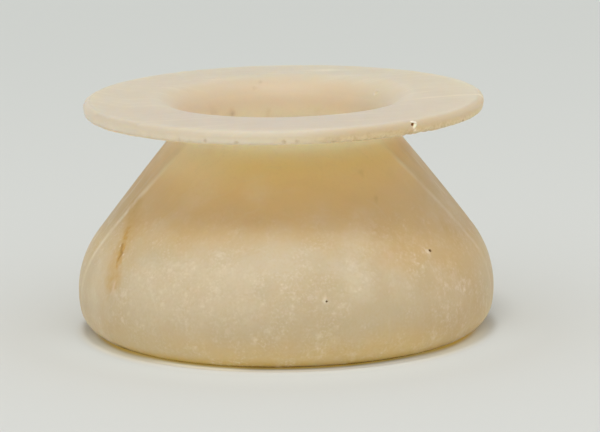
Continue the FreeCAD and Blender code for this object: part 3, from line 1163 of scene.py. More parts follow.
@dataclass(frozen=True)
class RimStone:
    """The rim's pale stone, cooler in front and streaked behind, with painted light and shade, and the warmer
    stone inside the mouth.

    Spans whose names say inward start from the rim's edge, and those that say raised from its underside.
    """

    front: Colour = colour(0.535, 0.49, 0.408)
    back: Colour = colour(0.565, 0.515, 0.405)
    # edge and side are partly the edge's darker stone and partly painted shade that mutes the highlight on
    # the rounded edge.
    edge: Colour = colour(0.47, 0.42, 0.345)
    # foot, side_foot and underside are painted glow of light that passes through the rim.
    foot: Colour = colour(0.61, 0.57, 0.50)
    side: Colour = colour(0.455, 0.38, 0.275)
    side_foot: Colour = colour(0.60, 0.515, 0.35)
    underside: Colour = colour(0.80, 0.70, 0.50)
    throat: Colour = colour(0.59, 0.485, 0.35)
    # Painted light: the funnel's colour deeper down is lighter, to make up for its shade.
    throat_painted_light: Colour = colour(0.83, 0.685, 0.46)
    # The grime colour serves both real grime in the worn edge and painted shade along the rim's far and lower
    # edges.
    grime_and_edge_shade: Colour = colour(0.30, 0.22, 0.10)
    front_to_back: Span = (-8.0, 12.0)
    streak_length: float = 14.0
    streak_height: float = 3.0
    streaks: Lumps = Lumps(size=1.5, detail=3.0, seed=51.0)
    pale_streaks: Span = (0.0, 0.2)
    pale_streak_share: float = 0.16
    warm_streaks: Span = (0.0, -0.2)
    warm_streak_share: float = 0.22
    # Where painted light makes the rim's top paler on the right.
    right_painted_light: Span = (8.0, 45.0)
    milky_share: float = 0.3
    edge_inward: Span = (2.2, 0.2)
    edge_sides: Span = (6.0, 36.0)
    edge_share: float = 0.35
    edge_side_share: float = 0.6
    side_inward: Span = (1.4, 0.5)
    side_right: Span = (2.0, 20.0)
    foot_right: Span = (-10.0, 20.0)
    foot_raised: Span = (2.6, 0.9)
    foot_share: float = 0.85
    dirt: Lumps = Lumps(size=0.6, detail=4.0, seed=55.0)
    dirty: Span = (-0.08, 0.14)
    dirt_raised: Span = (3.0, 0.0)
    dirt_right: Span = (2.0, 16.0)
    dirt_share: float = 0.38
    # Where painted shade darkens the rim's far edge.
    rear_inward: Span = (0.8, 0.1)
    rear_ahead: Span = (-8.0, 12.0)
    rear_share: float = 0.6
    underside_raised: Span = (0.4, -0.2)
    # Where painted shadow runs along the rim's lower corner.
    line_raised: Span = (0.7, 0.1)
    line_inward: Span = (3.0, 1.5)
    line_share: float = 0.3
    line_right: Span = (10.0, 24.0)
    line_right_share: float = 0.2
    rim_raised: Span = (-1.6, 0.6)
    inside_wall: Span = (4.4, 0.4)
    deep: Span = (6.0, 0.0)
    mouth_right: Span = (12.0, 27.0)
    mouth_right_share: float = 0.7
    inside_share: float = 0.9

    def paint(self, site: Site, palette: Palette, stone: Signal, bed: Signal) -> Signal:
        """Lays the rim's stone over the body's, and the mouth's over both.

        Args:
            site: Where the stone is.
            palette: The shared colours.
            stone: The body's colour.
            bed: How far behind the vein the stone is.

        Returns:
            The new colour.
        """
        raised = site.up - (site.shape.height - site.shape.rim_thickness)
        rim = self._edge(site, self._top(site, palette, bed), raised)
        stone = site.board.blend(raised.over(self.rim_raised), stone, rim)
        return self._mouth(site, stone)

    def _top(self, site: Site, palette: Palette, bed: Signal) -> Signal:
        """The rim's flat top, with streaks along the beds and painted light that makes its right side paler.

        Args:
            site: Where the stone is.
            palette: The shared colours.
            bed: How far behind the vein the stone is.

        Returns:
            The colour.
        """
        board = site.board
        top = board.blend(bed.over(self.front_to_back), self.front, self.back)
        streaked = board.combined(site.across / self.streak_length, bed, site.up / self.streak_height)
        streaks = board.cloud(streaked, self.streaks)
        top = board.blend(streaks.over(self.pale_streaks) * self.pale_streak_share, top, palette.vein_white)
        top = board.blend(streaks.over(self.warm_streaks) * self.warm_streak_share, top, self.throat)
        # Painted light: the right side of the top is paler, as if lit more strongly.
        return board.blend(site.across.over(self.right_painted_light) * self.milky_share, top, palette.milk)

    def _edge(self, site: Site, top: Signal, raised: Signal) -> Signal:
        """The rim's edge and underside: painted shade on the rounded top edge and the far edge, painted glow
        on the lower part of the edge and on the underside, painted shadow along the lower corner, and grime
        in the worn stone.

        Args:
            site: Where the stone is.
            top: The colour of the rim's top.
            raised: How far over the rim's underside the stone is.

        Returns:
            The new colour.
        """
        blend, across = site.board.blend, site.across
        inward = site.shape.rim_radius - site.out
        edge = inward.over(self.edge_inward)
        # Darker stone on the rounded top edge, partly the edge's own tone and partly painted shade that mutes
        # its highlight, strongest at the sides.
        edge_tone_and_shade = edge * (self.edge_share + abs(across).over(self.edge_sides) * self.edge_side_share)
        top = blend(edge_tone_and_shade, top, self.edge)
        # Olive on the right of the rounded edge, partly the stone's colour and partly painted shade against
        # the highlight.
        top = blend(inward.over(self.side_inward) * across.over(self.side_right), top, self.side)
        # Painted glow on the lower part of the edge, standing for light that passes through the rim.
        foot = blend(across.over(self.foot_right), self.foot, self.side_foot)
        top = blend(raised.over(self.foot_raised) * self.foot_share, top, foot)
        dirty = site.cloud(self.dirt).over(self.dirty) * raised.over(self.dirt_raised)
        top = blend(dirty * edge * across.over(self.dirt_right) * self.dirt_share, top, self.grime_and_edge_shade)
        # Painted shade along the far edge of the rim, which darkens its bright outline.
        rear_edge_shade = inward.over(self.rear_inward) * site.ahead.over(self.rear_ahead)
        top = blend(rear_edge_shade * self.rear_share, top, self.grime_and_edge_shade)
        # Painted glow on the underside, standing for light that passes through the rim and bounces up from
        # the floor.
        top = blend(raised.over(self.underside_raised), top, self.underside)
        # Painted shadow along the rim's lower corner.
        line = raised.over(self.line_raised) * inward.over(self.line_inward)
        line = line * (self.line_share + across.over(self.line_right) * self.line_right_share)
        return blend(line, top, self.grime_and_edge_shade)

    def _mouth(self, site: Site, stone: Signal) -> Signal:
        """The warmer stone of the funnel, with painted light that makes it lighter deeper down and on its
        right wall.

        Args:
            site: Where the stone is.
            stone: The colour so far.

        Returns:
            The new colour.
        """
        blend, shape = site.board.blend, site.shape
        throat_up = shape.height - shape.throat_depth
        over_throat = site.up - throat_up
        wall = over_throat * (shape.lip_wall / shape.throat_depth) + shape.throat_radius
        inside = (site.out - wall).over(self.inside_wall) * site.up.step(shape.height / 2, throat_up)
        # Painted light: deeper in the funnel, and on its right wall, the colour is lighter.
        deep = blend(over_throat.over(self.deep), self.throat, self.throat_painted_light)
        deep = blend(site.across.over(self.mouth_right) * self.mouth_right_share, deep, self.back)
        return blend(inside * self.inside_share, stone, deep)


@dataclass(frozen=True)
class Veins:
    """The thin pale vein, and a fainter one behind it."""

    half_width: float = 1.7
    share: float = 0.55
    swing: float = 1.4
    lumps: Lumps = Lumps(size=5.0, detail=2.0, seed=33.0)
    second_at: float = 8.5
    second_half_width: float = 0.6
    second_share: float = 0.15
    second_swing: float = 1.6
    second_lumps: Lumps = Lumps(size=6.0, detail=2.0, seed=34.0)
    rim_up: Span = (52.0, 53.5)
    rim_loss: float = 0.4
    rim_right: Span = (36.0, 26.0)
    neck_starts: Span = (41.0, 46.0)
    neck_ends: Span = (53.5, 52.0)
    neck_loss: float = 0.85
    right_side: Span = (16.0, 38.0)
    right_up: Span = (53.0, 52.0)
    right_loss: float = 0.5
    low_up: Span = (14.0, 34.0)
    low_share: float = 0.45

    def paint(self, site: Site, palette: Palette, stone: Signal, bed: Signal) -> Signal:
        """Draws both veins where the beds have their depths.

        Args:
            site: Where the stone is.
            palette: The shared colours.
            stone: The colour so far.
            bed: How far behind the vein the stone is.

        Returns:
            The new colour.
        """
        board, across, up = site.board, site.across, site.up
        on_rim = up.over(self.rim_up) * (self.rim_loss + across.over(self.rim_right) * (1.0 - self.rim_loss))
        on_neck = up.over(self.neck_starts) * up.over(self.neck_ends) * self.neck_loss
        on_right = across.over(self.right_side) * up.over(self.right_up) * self.right_loss
        faint = board.math("MAXIMUM", board.math("MAXIMUM", on_rim, on_neck), on_right)
        kept = (1.0 - faint) * (self.low_share + up.over(self.low_up) * (1.0 - self.low_share))
        vein = bed.peak(0.0, self.half_width) * (self.share + site.cloud(self.lumps) * self.swing) * kept
        second = self.second_share + site.cloud(self.second_lumps) * self.second_swing
        second = bed.peak(self.second_at, self.second_half_width) * second
        return board.blend(second, board.blend(vein, stone, palette.vein_white), palette.vein_white)


@dataclass(frozen=True)
class Flecks:
    """Pale crystal flecks, mostly low on the body, and fine amber dust."""

    small_size: float = 1.0
    small_share: float = 0.55
    large_size: float = 1.9
    large_share: float = 0.7
    haze_lumps: Lumps = Lumps(size=1.6, detail=3.0, seed=42.0)
    hazy: Span = (-0.02, 0.24)
    haze_share: float = 0.4
    dust: Lumps = Lumps(size=0.6, detail=3.0, seed=45.0)
    pale_dust: Span = (0.0, 0.2)
    pale_dust_share: float = 0.5
    amber_dust: Span = (0.0, -0.22)
    amber_dust_share: float = 0.22
    amber_dust_high: float = 0.35
    group_lumps: Lumps = Lumps(size=5.0, detail=4.0, seed=43.0)
    grouped: Span = (-0.18, 0.18)
    patch_lumps: Lumps = Lumps(size=20.0, detail=1.0, seed=44.0)
    patched: Span = (-0.20, 0.06)
    patch_base: float = 0.45
    patch_gain: float = 0.5
    low_down: Span = (38.0, 27.0)
    share: float = 0.42

    def paint(self, site: Site, palette: Palette, stone: Signal) -> Signal:
        """Strews the flecks and the dust.

        Args:
            site: Where the stone is.
            palette: The shared colours.
            stone: The colour so far.

        Returns:
            The new colour.
        """
        board, place = site.board, site.place
        low_down = site.up.over(self.low_down)
        dust = site.cloud(self.dust)
        flecks = board.specks(place, self.small_size) * self.small_share
        flecks = flecks + board.specks(place, self.large_size) * self.large_share
        flecks = flecks + site.cloud(self.haze_lumps).over(self.hazy) * self.haze_share
        flecks = flecks + dust.over(self.pale_dust) * self.pale_dust_share
        patches = self.patch_base + site.cloud(self.patch_lumps).over(self.patched) * self.patch_gain
        amount = flecks * site.cloud(self.group_lumps).over(self.grouped) * patches * low_down
        stone = board.blend(amount * self.share, stone, palette.crystal_white)
        spread = self.amber_dust_high + low_down * (1.0 - self.amber_dust_high)
        return board.blend(dust.over(self.amber_dust) * spread * self.amber_dust_share, stone, palette.amber)


@dataclass(frozen=True)
class Surface:
    """How polished the stone is, and how light scatters in it."""

    gloss: float = 0.48
    gloss_sway: float = 0.3
    gloss_grain: float = 0.12
    soil_roughness: float = 0.35
    worn_roughness: float = 0.3
    edge_inward: Span = (1.8, 0.5)
    edge_raised: Span = (-1.0, 0.0)
    grain: Lumps = Lumps(size=0.5, detail=3.0, seed=11.0)
    grain_height: float = 0.3
    polish: Lumps = Lumps(size=4.0, detail=2.0, seed=12.0)
    bump_strength: float = 0.3
    bump_height: float = 0.08 * MM
    sheen: float = 0.5
    density: float = 1.65
    scatter_depth: float = 16.0 * MM
    scatter_reach: tuple[float, float, float] = (1.0, 0.66, 0.36)
    soil_dulls: float = 1.5
    foot_dull: Span = (3.0, 0.4)
    dull_share: float = 0.9

    def shade(self, site: Site, stone: Signal, soil: Signal, iron: Signal) -> Signal:
        """Makes the shader: polished stone, and dry stone at stains and at the foot.

        Args:
            site: Where the stone is.
            stone: Its colour.
            soil: How soiled it is.
            iron: How stained by iron it is.

        Returns:
            The shader.
        """
        board, shape = site.board, site.shape
        grain, polish = site.cloud(self.grain), site.cloud(self.polish)
        height = grain * self.grain_height + polish
        sockets = {"Strength": self.bump_strength, "Distance": self.bump_height, "Height": height}
        bump = board.add("ShaderNodeBump", sockets=sockets)
        raised = site.up - (shape.height - shape.rim_thickness)
        worn = (shape.rim_radius - site.out).over(self.edge_inward) * raised.over(self.edge_raised)
        gloss = self.gloss + site.close * self.gloss_sway + grain * self.gloss_grain
        gloss = gloss + soil * self.soil_roughness + worn * self.worn_roughness
        polished, dry = (self._stone(board, stone, gloss, bump, sheen) for sheen in (self.sheen, 0.0))
        stained = board.math("MAXIMUM", soil * self.soil_dulls, iron)
        dull = board.math("MAXIMUM", stained, site.up.over(self.foot_dull)) * self.dull_share
        return board.add("ShaderNodeMixShader", sockets={0: dull, 1: polished, 2: dry})

    def _stone(self, board: Board, stone: Signal, gloss: Signal, bump: Signal, sheen: float) -> Signal:
        """Translucent stone with a polish, or dry without one.

        Args:
            board: The material's tree.
            stone: The colour.
            gloss: The roughness.
            bump: The surface's small relief.
            sheen: How strongly it reflects, with 0 for dry stone.

        Returns:
            The shader.
        """
        sockets = {
            "Base Color": stone,
            "Roughness": gloss,
            "Normal": bump,
            "IOR": self.density,
            "Specular IOR Level": sheen,
            "Subsurface Weight": 1.0,
            "Subsurface Radius": self.scatter_reach,
            "Subsurface Scale": self.scatter_depth,
        }
        return board.add("ShaderNodeBsdfPrincipled", {"subsurface_method": "RANDOM_WALK"}, sockets)


@dataclass(frozen=True)
class Travertine:
    """Polished banded travertine, from the body's broad colours to the stains of its blemishes."""

    palette: Palette = Palette()
    bedding: Bedding = Bedding()
    body: BodyStone = BodyStone()
    rim: RimStone = RimStone()
    veins: Veins = Veins()
    flecks: Flecks = Flecks()
    surface: Surface = Surface()
    soil_brown: Colour = colour(0.11, 0.055, 0.014)
    iron_orange: Colour = colour(0.50, 0.295, 0.08)
    stain_lumps: Lumps = Lumps(size=1.3, detail=3.0, seed=61.0)
    stain_share: float = 0.9
    stain_swing: float = 1.8

    def build(self, shape: JarShape) -> bpy.types.Material:
        """Makes the material.

        Args:
            shape: The jar's sizes, which the colours follow.

        Returns:
            The material.
        """
        material = bpy.data.materials.new("banded_travertine")
        material.use_nodes = True
        material.node_tree.nodes.clear()
        board = Board(material.node_tree)
        site = Site.read(board, shape)
        bed = self.bedding.depth(site)

        stone = self.body.paint(site, self.palette)
        stone = self.bedding.paint(site, self.palette, stone, bed)
        stone = self.rim.paint(site, self.palette, stone, bed)
        stone = self.veins.paint(site, self.palette, stone, bed)
        stone = self.flecks.paint(site, self.palette, stone)
        flaws = board.node("ShaderNodeAttribute", {"attribute_name": BLEMISHES})
        soil, iron, bloom = board.parts(Signal(board, flaws.outputs["Vector"]))
        patchy = self.stain_share + site.cloud(self.stain_lumps) * self.stain_swing
        stone = board.blend(iron * patchy, stone, self.iron_orange)
        stone = board.blend(bloom * patchy, stone, self.palette.crystal_white)
        stone = board.blend(soil, stone, self.soil_brown)
        shader = self.surface.shade(site, stone, soil, iron)
        board.node("ShaderNodeOutputMaterial", sockets={"Surface": shader})
        return material


@dataclass(frozen=True)
class Mark:
    """A blemish on the stone: the line that it follows, or one point, and the way out of the stone."""

    flaw: Flaw
    route: tuple[Vector, ...]
    outward: Vector
    radius: float
    depth: float = 0.0
    strength: float = 1.0

    def distances(self, points: np.ndarray) -> np.ndarray:
        """How far some points are from the mark.

        Args:
            points: The points as rows of three numbers.

        Returns:
            A distance for each point.
        """
        nearest = np.full(len(points), np.inf)
        for start, end in zip(self.route, self.route[1:] or self.route):
            along = np.array(end - start)
            squared_length = max(float(along @ along), LEAST_SQUARED_LENGTH)
            offset = points - np.array(start)
            share = np.clip(offset @ along / squared_length, 0.0, 1.0)
            nearest = np.minimum(nearest, np.linalg.norm(offset - share[:, None] * along, axis=1))
        return nearest


@dataclass(frozen=True)
class EdgeWear:
    """The rough, rubbed stone along the rim's lower edge, worst at the front right."""

    reach: float = 2.0 * MM
    depth: float = 0.55 * MM
    grain: float = 1.4 * MM
    finer_by: float = 2.3
    finer_share: float = 0.5
    evenness: float = 0.25
    fading: float = 0.7
    upward: float = 0.8
    worst_at: float = math.radians(37.0)
    worst_half: float = math.radians(34.0)
    elsewhere: float = 0.25
    stain: float = 0.42

    def strength_at(self, point: Vector) -> float:
        """How strong the wear is on a point's side of the jar.

        Args:
            point: The point.

        Returns:
            A share from that elsewhere up to 1 where the wear is worst.
        """
        angle = math.atan2(point.x, -point.y)
        worst = max(0.0, 1.0 - (abs(angle - self.worst_at) / self.worst_half) ** 2)
        return self.elsewhere + (1.0 - self.elsewhere) * worst

    def roughness_at(self, point: Vector) -> float:
        """How far the worn stone is eaten away at a point, by its coarse and its finer grain.

        Args:
            point: The point.

        Returns:
            The share, which is 0 where the stone stands.
        """
        coarse = noise.noise(point / self.grain)
        finer = noise.noise(point / self.grain * self.finer_by)
        return max(0.0, coarse + self.finer_share * finer + self.evenness)


@dataclass(frozen=True)
class Kind:
    """A kind of small blemish: how many, what radii, how deep for its radius, and how strongly stained."""

    count: int
    flaw: Flaw
    radii: Span
    depth_share: float
    strength: float


@dataclass(frozen=True)
class OldPits:
    """Small pits and chips on the sides that the photograph doesn't show, of the kinds that it does."""

    rim_pits: Kind = Kind(16, Flaw.PIT, radii=(0.24 * MM, 0.44 * MM), depth_share=0.5, strength=0.5)
    rim_chips: Kind = Kind(4, Flaw.CHIP, radii=(0.6 * MM, 1.2 * MM), depth_share=0.4, strength=0.35)
    body_pits: Kind = Kind(9, Flaw.PIT, radii=(0.24 * MM, 0.44 * MM), depth_share=0.8, strength=0.8)
    rim_edge: Span = (0.9, 0.45)
    body_top: float = 0.75
    degrees_round: Span = (95.0, 265.0)
    seed: int = 12

    def heights(self, shape: JarShape) -> tuple[tuple[Kind, Span], ...]:
        """Between which heights each kind lies.

        Args:
            shape: The jar's sizes.

        Returns:
            Each kind with its lowest and highest place in millimetres.
        """
        on_rim = tuple(shape.height - shape.rim_thickness * share for share in self.rim_edge)
        on_body = (shape.heel_bend, shape.height * self.body_top)
        return (self.rim_pits, on_rim), (self.rim_chips, on_rim), (self.body_pits, on_body)


class Carver:
    """Cuts wear and blemishes into the turned mesh, and notes where the stone is stained."""

    levels: tuple[float, ...] = (0.95 * MM, 0.5 * MM, 0.22 * MM)
    least_depth: float = 0.01 * MM
    finest_from_depth: float = 0.28 * MM
    ragged: float = 0.45
    ragged_lump: float = 0.7
    chip_rough: float = 0.07
    chip_lump: float = 0.6 * MM
    chip_margin: float = 1.08
    pit_steepness: float = 2.5
    sharp_stain: float = 3.0
    soft_stain: float = 1.6
    stain_fading: float = 1.5

    def __init__(self, mesh: bpy.types.Mesh, view: PhotoView, shape: JarShape) -> None:
        """Keeps what the work needs, and a tree of the mesh's faces.

        Args:
            mesh: The mesh to work on.
            view: The view that its blemishes were seen from.
            shape: The jar's sizes.
        """
        self.mesh = mesh
        self.view = view
        self.shape = shape
        made = bmesh.new()
        made.from_mesh(mesh)
        self.tree = BVHTree.FromBMesh(made)
        made.free()

    def work(self) -> None:
        """Cuts and stains everything."""
        marks = [self._seen(blemish) for blemish in BLEMISHES_SEEN] + self._old_pits(OldPits())
        for level, margin in enumerate(self.levels):
            finest = level == len(self.levels) - 1
            least = self.finest_from_depth if finest else self.least_depth
            self._refine([mark for mark in marks if mark.depth >= least], margin)
        points = self._coordinates()
        stains = np.zeros((len(points), len(Stain)))
        for mark in marks:
            self._stain(mark, points, stains)
        for mark in marks:
            self._cut(mark, points)
        self._wear(EdgeWear(), points, stains)
        self.mesh.vertices.foreach_set("co", points.astype(np.float32).ravel())
        self.mesh.update()
        noted = self.mesh.attributes.new(BLEMISHES, "FLOAT_VECTOR", "POINT")
        noted.data.foreach_set("vector", stains.astype(np.float32).ravel())
        LOG.info("%d blemishes cut and stained", len(marks))

    def _seen(self, blemish: Blemish) -> Mark:
        """Follows a blemish of the photograph onto the jar.

        Args:
            blemish: The blemish.

        Returns:
            Its mark.
        """
        places = [self._hit(*self.view.ray(*pixel)) for pixel in blemish.route_px]
        outward = sum((outward for _, outward in places), Vector()).normalized()
        route = tuple(point for point, _ in places)
        radius, depth = blemish.radius_mm * MM, blemish.depth_mm * MM
        return Mark(blemish.flaw, route, outward, radius, depth, blemish.strength)

    def _hit(self, start: Vector, way: Vector) -> tuple[Vector, Vector]:
        """Finds where a line meets the stone, or comes nearest to it.

        Args:
            start: Where the line starts.
            way: Its direction.

        Returns:
            The place, and the way out of the stone there.
        """
        point, outward, _, _ = self.tree.ray_cast(start, way)
        if point is None:
            point, outward, _, _ = self.tree.find_nearest(start + way * -start.dot(way))
        return point, outward

    def _old_pits(self, kept: OldPits) -> list[Mark]:
        """Marks on the jar's sides and back.

        Args:
            kept: How many there are, and their sizes.

        Returns:
            The marks.
        """
        chance = random.Random(kept.seed)
        marks = []
        for kind, heights in kept.heights(self.shape):
            for _ in range(kind.count):
                angle = math.radians(chance.uniform(*kept.degrees_round))
                way = Vector((-math.sin(angle), math.cos(angle), 0.0))
                aside = way * self.shape.body_radius * 2 * MM
                point, outward = self._hit(Vector((0.0, 0.0, chance.uniform(*heights) * MM)) - aside, way)
                radius = chance.uniform(*kind.radii)
                depth = radius * kind.depth_share
                marks.append(Mark(kind.flaw, (point,), outward, radius, depth, kind.strength))
        return marks

    def _refine(self, marks: list[Mark], margin: float) -> None:
        """Divides in four the faces that lie on some marks or near them.

        Args:
            marks: The marks.
            margin: How far past a mark's radius a face may be.
        """
        made = bmesh.new()
        made.from_mesh(self.mesh)
        made.faces.ensure_lookup_table()
        centres = np.array([face.calc_center_median() for face in made.faces])
        chosen = np.zeros(len(centres), bool)
        for mark in marks:
            chosen |= mark.distances(centres) < mark.radius + margin
        edges = {edge for index in np.flatnonzero(chosen) for edge in made.faces[index].edges}
        ordered = sorted(edges, key=lambda edge: edge.index)
        bmesh.ops.subdivide_edges(made, edges=ordered, cuts=1, use_grid_fill=True, smooth=0.0)
        made.to_mesh(self.mesh)
        made.free()

    def _coordinates(self) -> np.ndarray:
        """Reads the mesh's points.

        Returns:
            The points as rows of three numbers.
        """
        values = np.zeros(len(self.mesh.vertices) * 3, np.float32)
        self.mesh.vertices.foreach_get("co", values)
        return values.reshape(-1, 3).astype(float)

    def _ragged(self, mark: Mark, points: np.ndarray, reach: float) -> tuple[np.ndarray, np.ndarray]:
        """Finds the points near a mark, with distances that noise makes uneven.

        Args:
            mark: The mark.
            points: The mesh's points.
            reach: How far the mark reaches.

        Returns:
            The points' numbers, and their distances as shares of the reach.
        """
        shares = mark.distances(points) / reach
        near = np.flatnonzero(shares < 1.0 + self.ragged)
        lump = reach * self.ragged_lump
        bends = np.array([noise.noise(Vector(points[index]) / lump) for index in near])
        return near, shares[near] * (1.0 + self.ragged * bends)

    def _cut(self, mark: Mark, points: np.ndarray) -> None:
        """Moves points into the stone where a mark is hollow.

        Args:
            mark: The mark.
            points: The mesh's points, which are changed.
        """
        if mark.depth == 0.0:
            return
        if mark.flaw is Flaw.CHIP:
            self._chip(mark, points)
            return
        near, shares = self._ragged(mark, points, mark.radius)
        sunk = np.clip(1.0 - shares, 0.0, 1.0)
        if mark.flaw in (Flaw.PIT, Flaw.WORN_PIT):
            sunk = 1.0 - (1.0 - sunk) ** self.pit_steepness
        points[near] -= (sunk * mark.depth)[:, None] * np.array(mark.outward)

    def _chip(self, mark: Mark, points: np.ndarray) -> None:
        """Moves points onto a rough ball that touches the chip's bottom and its rim.

        Args:
            mark: The chip.
            points: The mesh's points, which are changed.
        """
        ball = (mark.radius**2 + mark.depth**2) / (2 * mark.depth)
        centre = np.array(mark.route[0] + mark.outward * (ball - mark.depth))
        offsets = points - centre
        lengths = np.linalg.norm(offsets, axis=1)
        for index in np.flatnonzero(lengths < ball * self.chip_margin):
            rough = 1.0 + self.chip_rough * noise.noise(Vector(points[index]) / self.chip_lump)
            if lengths[index] < ball * rough:
                points[index] = centre + offsets[index] / lengths[index] * ball * rough

    def _stain(self, mark: Mark, points: np.ndarray, stains: np.ndarray) -> None:
        """Notes a mark's stain on the points round it.

        Args:
            mark: The mark.
            points: The mesh's points.
            stains: The stains of each point, which are changed.
        """
        near, shares = self._ragged(mark, points, mark.radius * mark.flaw.spread)
        fade = np.clip(1.0 - shares, 0.0, 1.0)
        edge = self.sharp_stain if mark.flaw in (Flaw.PIT, Flaw.CRACK) else self.soft_stain
        strength = np.clip(fade * edge, 0.0, 1.0) ** self.stain_fading * mark.strength
        column = mark.flaw.stain.value
        stains[near, column] = np.maximum(stains[near, column], strength)

    def _wear(self, wear: EdgeWear, points: np.ndarray, stains: np.ndarray) -> None:
        """Roughens the rim's lower edge, and browns it where it is roughest.

        Args:
            wear: How it is worn.
            points: The mesh's points, which are changed.
            stains: The stains of each point, which are changed.
        """
        shape = self.shape
        edge_out = (shape.rim_radius - shape.rim_edge_lean) * MM
        edge_up = (shape.height - shape.rim_thickness) * MM
        out = np.hypot(points[:, 0], points[:, 1])
        gaps = np.hypot(out - edge_out, points[:, 2] - edge_up)
        for index in np.flatnonzero(gaps < wear.reach):
            point = Vector(points[index])
            close = (1.0 - gaps[index] / wear.reach) ** wear.fading
            bite = wear.roughness_at(point) * close * wear.strength_at(point)
            inward = Vector((-point.x, -point.y, out[index] * wear.upward)).normalized()
            points[index] += np.array(inward) * bite * wear.depth
            stains[index, Stain.SOIL.value] = max(stains[index, Stain.SOIL.value], bite * wear.stain)


@dataclass(frozen=True)
class Jar:
    """The jar itself: one piece of stone."""

    shape: JarShape
    turning: Turning
    stone: Travertine
    view: PhotoView

    def build(self) -> bpy.types.Object:
        """Turns the jar, cuts its blemishes and puts it in the frame.

        Returns:
            The finished object.
        """
        profile = self.shape.profile()
        mesh = self.turning.turn(profile, self.stone.build(self.shape))
        LOG.info("turned %d rings round", len(profile))
        Carver(mesh, self.view, self.shape).work()
        mesh.polygons.foreach_set("use_smooth", [True] * len(mesh.polygons))
        LOG.info("%d triangles", sum(len(face.vertices) - 2 for face in mesh.polygons))
        jar = bpy.data.objects.new(PIECE, mesh)
        bpy.context.scene.collection.objects.link(jar)
        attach(jar, BODY)
        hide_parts(NODE)
        return jar


@dataclass(frozen=True)
class Ring:
    """A ring of light on the paper: its colour, how far it is from the jar's axis and half its width."""

    light: Colour
    radius: float
    half_width: float

    def strength(self, out: Signal) -> Signal:
        """How strong the ring is at a distance from the axis."""
        return out.peak(self.radius, self.half_width)


@dataclass(frozen=True)
class Paper:
    """The matt paper under the jar, with painted shade far away and round the foot, and painted light that it
    gives off round the jar's foot, standing for light that leaks through the stone.
    """

    # The paper is darker far away: painted shade.
    near: Colour = colour(0.665, 0.672, 0.64)
    far: Colour = colour(0.585, 0.60, 0.57)
    near_to_far: Span = (-0.1, 0.55)
    # Round the foot: paler paper as painted light, and tan paper as painted contact shadow.
    warm: Colour = colour(0.88, 0.90, 0.88)
    tan: Colour = colour(0.50, 0.40, 0.24)
    beside: Span = (24.0 * MM, 40.0 * MM)
    painted_shadow: Span = (46.5 * MM, 43.5 * MM)
    painted_shadow_share: float = 0.5
    glow: Span = (52.0 * MM, 44.0 * MM)
    in_front: Span = (10.0 * MM, -25.0 * MM)
    unlit: Colour = colour(0.0, 0.0, 0.0)
    front_light: Colour = colour(0.06, 0.075, 0.085)
    front_reach: Span = (66.0 * MM, 47.0 * MM)
    right_of_middle: Span = (2.0 * MM, 12.0 * MM)
    right_loss: float = 0.35
    front_ring: Ring = Ring(colour(0.25, 0.235, 0.19), 46.2 * MM, 2.0 * MM)
    side_ring: Ring = Ring(colour(0.25, 0.24, 0.185), 47.1 * MM, 3.8 * MM)
    side_glow: Ring = Ring(colour(0.17, 0.11, 0.015), 44.6 * MM, 2.2 * MM)
    foot_light: Colour = colour(0.26, 0.165, 0.0)
    foot: Span = (46.2 * MM, 42.8 * MM)
    left_ring: Ring = Ring(colour(0.13, 0.12, 0.07), 45.6 * MM, 2.8 * MM)
    left_starts: Span = (-6.0 * MM, -15.0 * MM)
    left_ends: Span = (-47.0 * MM, -22.0 * MM)
    roughness: float = 0.9

    def build(self) -> bpy.types.Material:
        """Makes the material.

        Returns:
            The material.
        """
        material = bpy.data.materials.new("pale_paper")
        material.use_nodes = True
        material.node_tree.nodes.clear()
        board = Board(material.node_tree)
        across, ahead, _ = board.parts(board.add("ShaderNodeTexCoord", output="Object"))
        out = board.math("SQRT", across * across + ahead * ahead)
        beside = abs(across).over(self.beside)
        sockets = {
            "Base Color": self._tint(board, ahead, out, beside),
            "Roughness": self.roughness,
            "Emission Color": self._light(board, across, ahead, out, beside),
            "Emission Strength": 1.0,
        }
        surface = board.add("ShaderNodeBsdfPrincipled", sockets=sockets)
        board.node("ShaderNodeOutputMaterial", sockets={"Surface": surface})
        return material

    def _tint(self, board: Board, ahead: Signal, out: Signal, beside: Signal) -> Signal:
        """The paper's colour, with painted shade that darkens it far away, painted light that makes it paler
        round the foot, and tan paper beside the jar and at the foot's edge as painted contact shadow.

        Args:
            board: The material's tree.
            ahead: How far behind the axis the place is.
            out: How far from the axis it is.
            beside: How far to the side of the jar it is, from 0 to 1.

        Returns:
            The colour.
        """
        # Painted shade: the paper is darker far away.
        tint = board.blend(ahead.over(self.near_to_far), self.near, self.far)
        # Painted contact shadow beside the jar and at the foot's edge, inside painted light that makes the
        # paper paler round the foot.
        painted_shadow = board.math("MAXIMUM", beside, out.over(self.painted_shadow) * self.painted_shadow_share)
        glow = board.blend(painted_shadow, self.warm, self.tan)
        return board.blend(out.over(self.glow), tint, glow)

    def _light(self, board: Board, across: Signal, ahead: Signal, out: Signal, beside: Signal) -> Signal:
        """The light that the paper gives off, strongest in thin rings round the foot.

        Args:
            board: The material's tree.
            across: How far to the right of the axis the place is.
            ahead: How far behind the axis it is.
            out: How far from the axis it is.
            beside: How far to the side of the jar it is, from 0 to 1.

        Returns:
            The light's colour.
        """
        in_front = ahead.over(self.in_front)
        before = in_front * (1.0 - beside) * (1.0 - across.over(self.right_of_middle) * self.right_loss)
        light = board.blend(out.over(self.front_reach) * in_front, self.unlit, self.front_light)
        shares = ((self.front_ring, before), (self.side_ring, beside * in_front), (self.side_glow, beside))
        for ring, share in shares:
            light = board.blend(ring.strength(out) * share, light, ring.light)
        light = board.blend(out.over(self.foot), light, self.foot_light)
        on_left = across.over(self.left_starts) * across.over(self.left_ends) * in_front
        on_left = on_left * self.left_ring.strength(out)
        return board.vector("ADD", light, board.scaled(self.left_ring.light[:3], on_left))


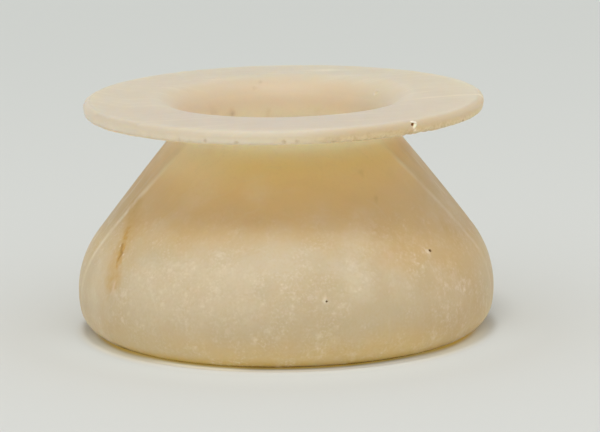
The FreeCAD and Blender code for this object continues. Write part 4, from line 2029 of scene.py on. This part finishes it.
@dataclass(frozen=True)
class Studio:
    """A pale paper floor, one wide soft lamp overhead and an even sky."""

    paper: Paper = Paper()
    floor_half: float = 3.0
    key_energy: float = 0.81
    key_spread: float = math.radians(12.0)
    key_way: tuple[float, float, float] = (0.07, 0.31, -0.95)
    sky_front: Colour = colour(0.98, 0.98, 0.98)
    sky_back: Colour = colour(0.62, 0.63, 0.63)
    front_to_back: Span = (-1.0, 1.0)

    def build(self) -> None:
        """Adds the floor, the lamp and the sky."""
        mesh = bpy.data.meshes.new("paper_floor")
        half = self.floor_half
        corners = [(-half, -half, 0.0), (half, -half, 0.0), (half, half, 0.0), (-half, half, 0.0)]
        mesh.from_pydata(corners, [], [(0, 1, 2, 3)])
        mesh.materials.append(self.paper.build())
        floor = bpy.data.objects.new("paper_floor", mesh)
        bpy.context.scene.collection.objects.link(floor)

        lamp = bpy.data.lights.new("wide_lamp", "SUN")
        lamp.energy, lamp.angle = self.key_energy, self.key_spread
        key = bpy.data.objects.new("wide_lamp", lamp)
        key.rotation_euler = Vector(self.key_way).to_track_quat("-Z", "Y").to_euler()
        bpy.context.scene.collection.objects.link(key)

        bpy.context.scene.world = self._sky()
        bpy.context.scene.view_settings.view_transform = "Standard"
        LOG.info("studio built")

    def _sky(self) -> bpy.types.World:
        """The light all round, brighter from the front.

        Returns:
            The world.
        """
        world = bpy.data.worlds.new("sky")
        world.use_nodes = True
        world.node_tree.nodes.clear()
        board = Board(world.node_tree)
        _, ahead, _ = board.parts(board.add("ShaderNodeTexCoord", output="Generated"))
        glow = board.blend(ahead.over(self.front_to_back), self.sky_front, self.sky_back)
        background = board.add("ShaderNodeBackground", sockets={"Color": glow})
        board.node("ShaderNodeOutputWorld", sockets={"Surface": background})
        return world


def main() -> None:
    """Builds the jar, the studio and the camera, and reports each piece."""
    logging.basicConfig(level=logging.INFO, format="%(name)s: %(message)s")
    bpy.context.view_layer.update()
    low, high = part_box(NODE)
    view = PhotoView()
    view.make_camera()
    shape = JarShape(height=(high.z - low.z) / MM, body_radius=(high.x - low.x) / 2 / MM)
    jar = Jar(shape, Turning(), Travertine(), view).build()
    LOG.info("%s finished", jar.name)
    Studio().build()


if __name__ == "__main__":
    main()
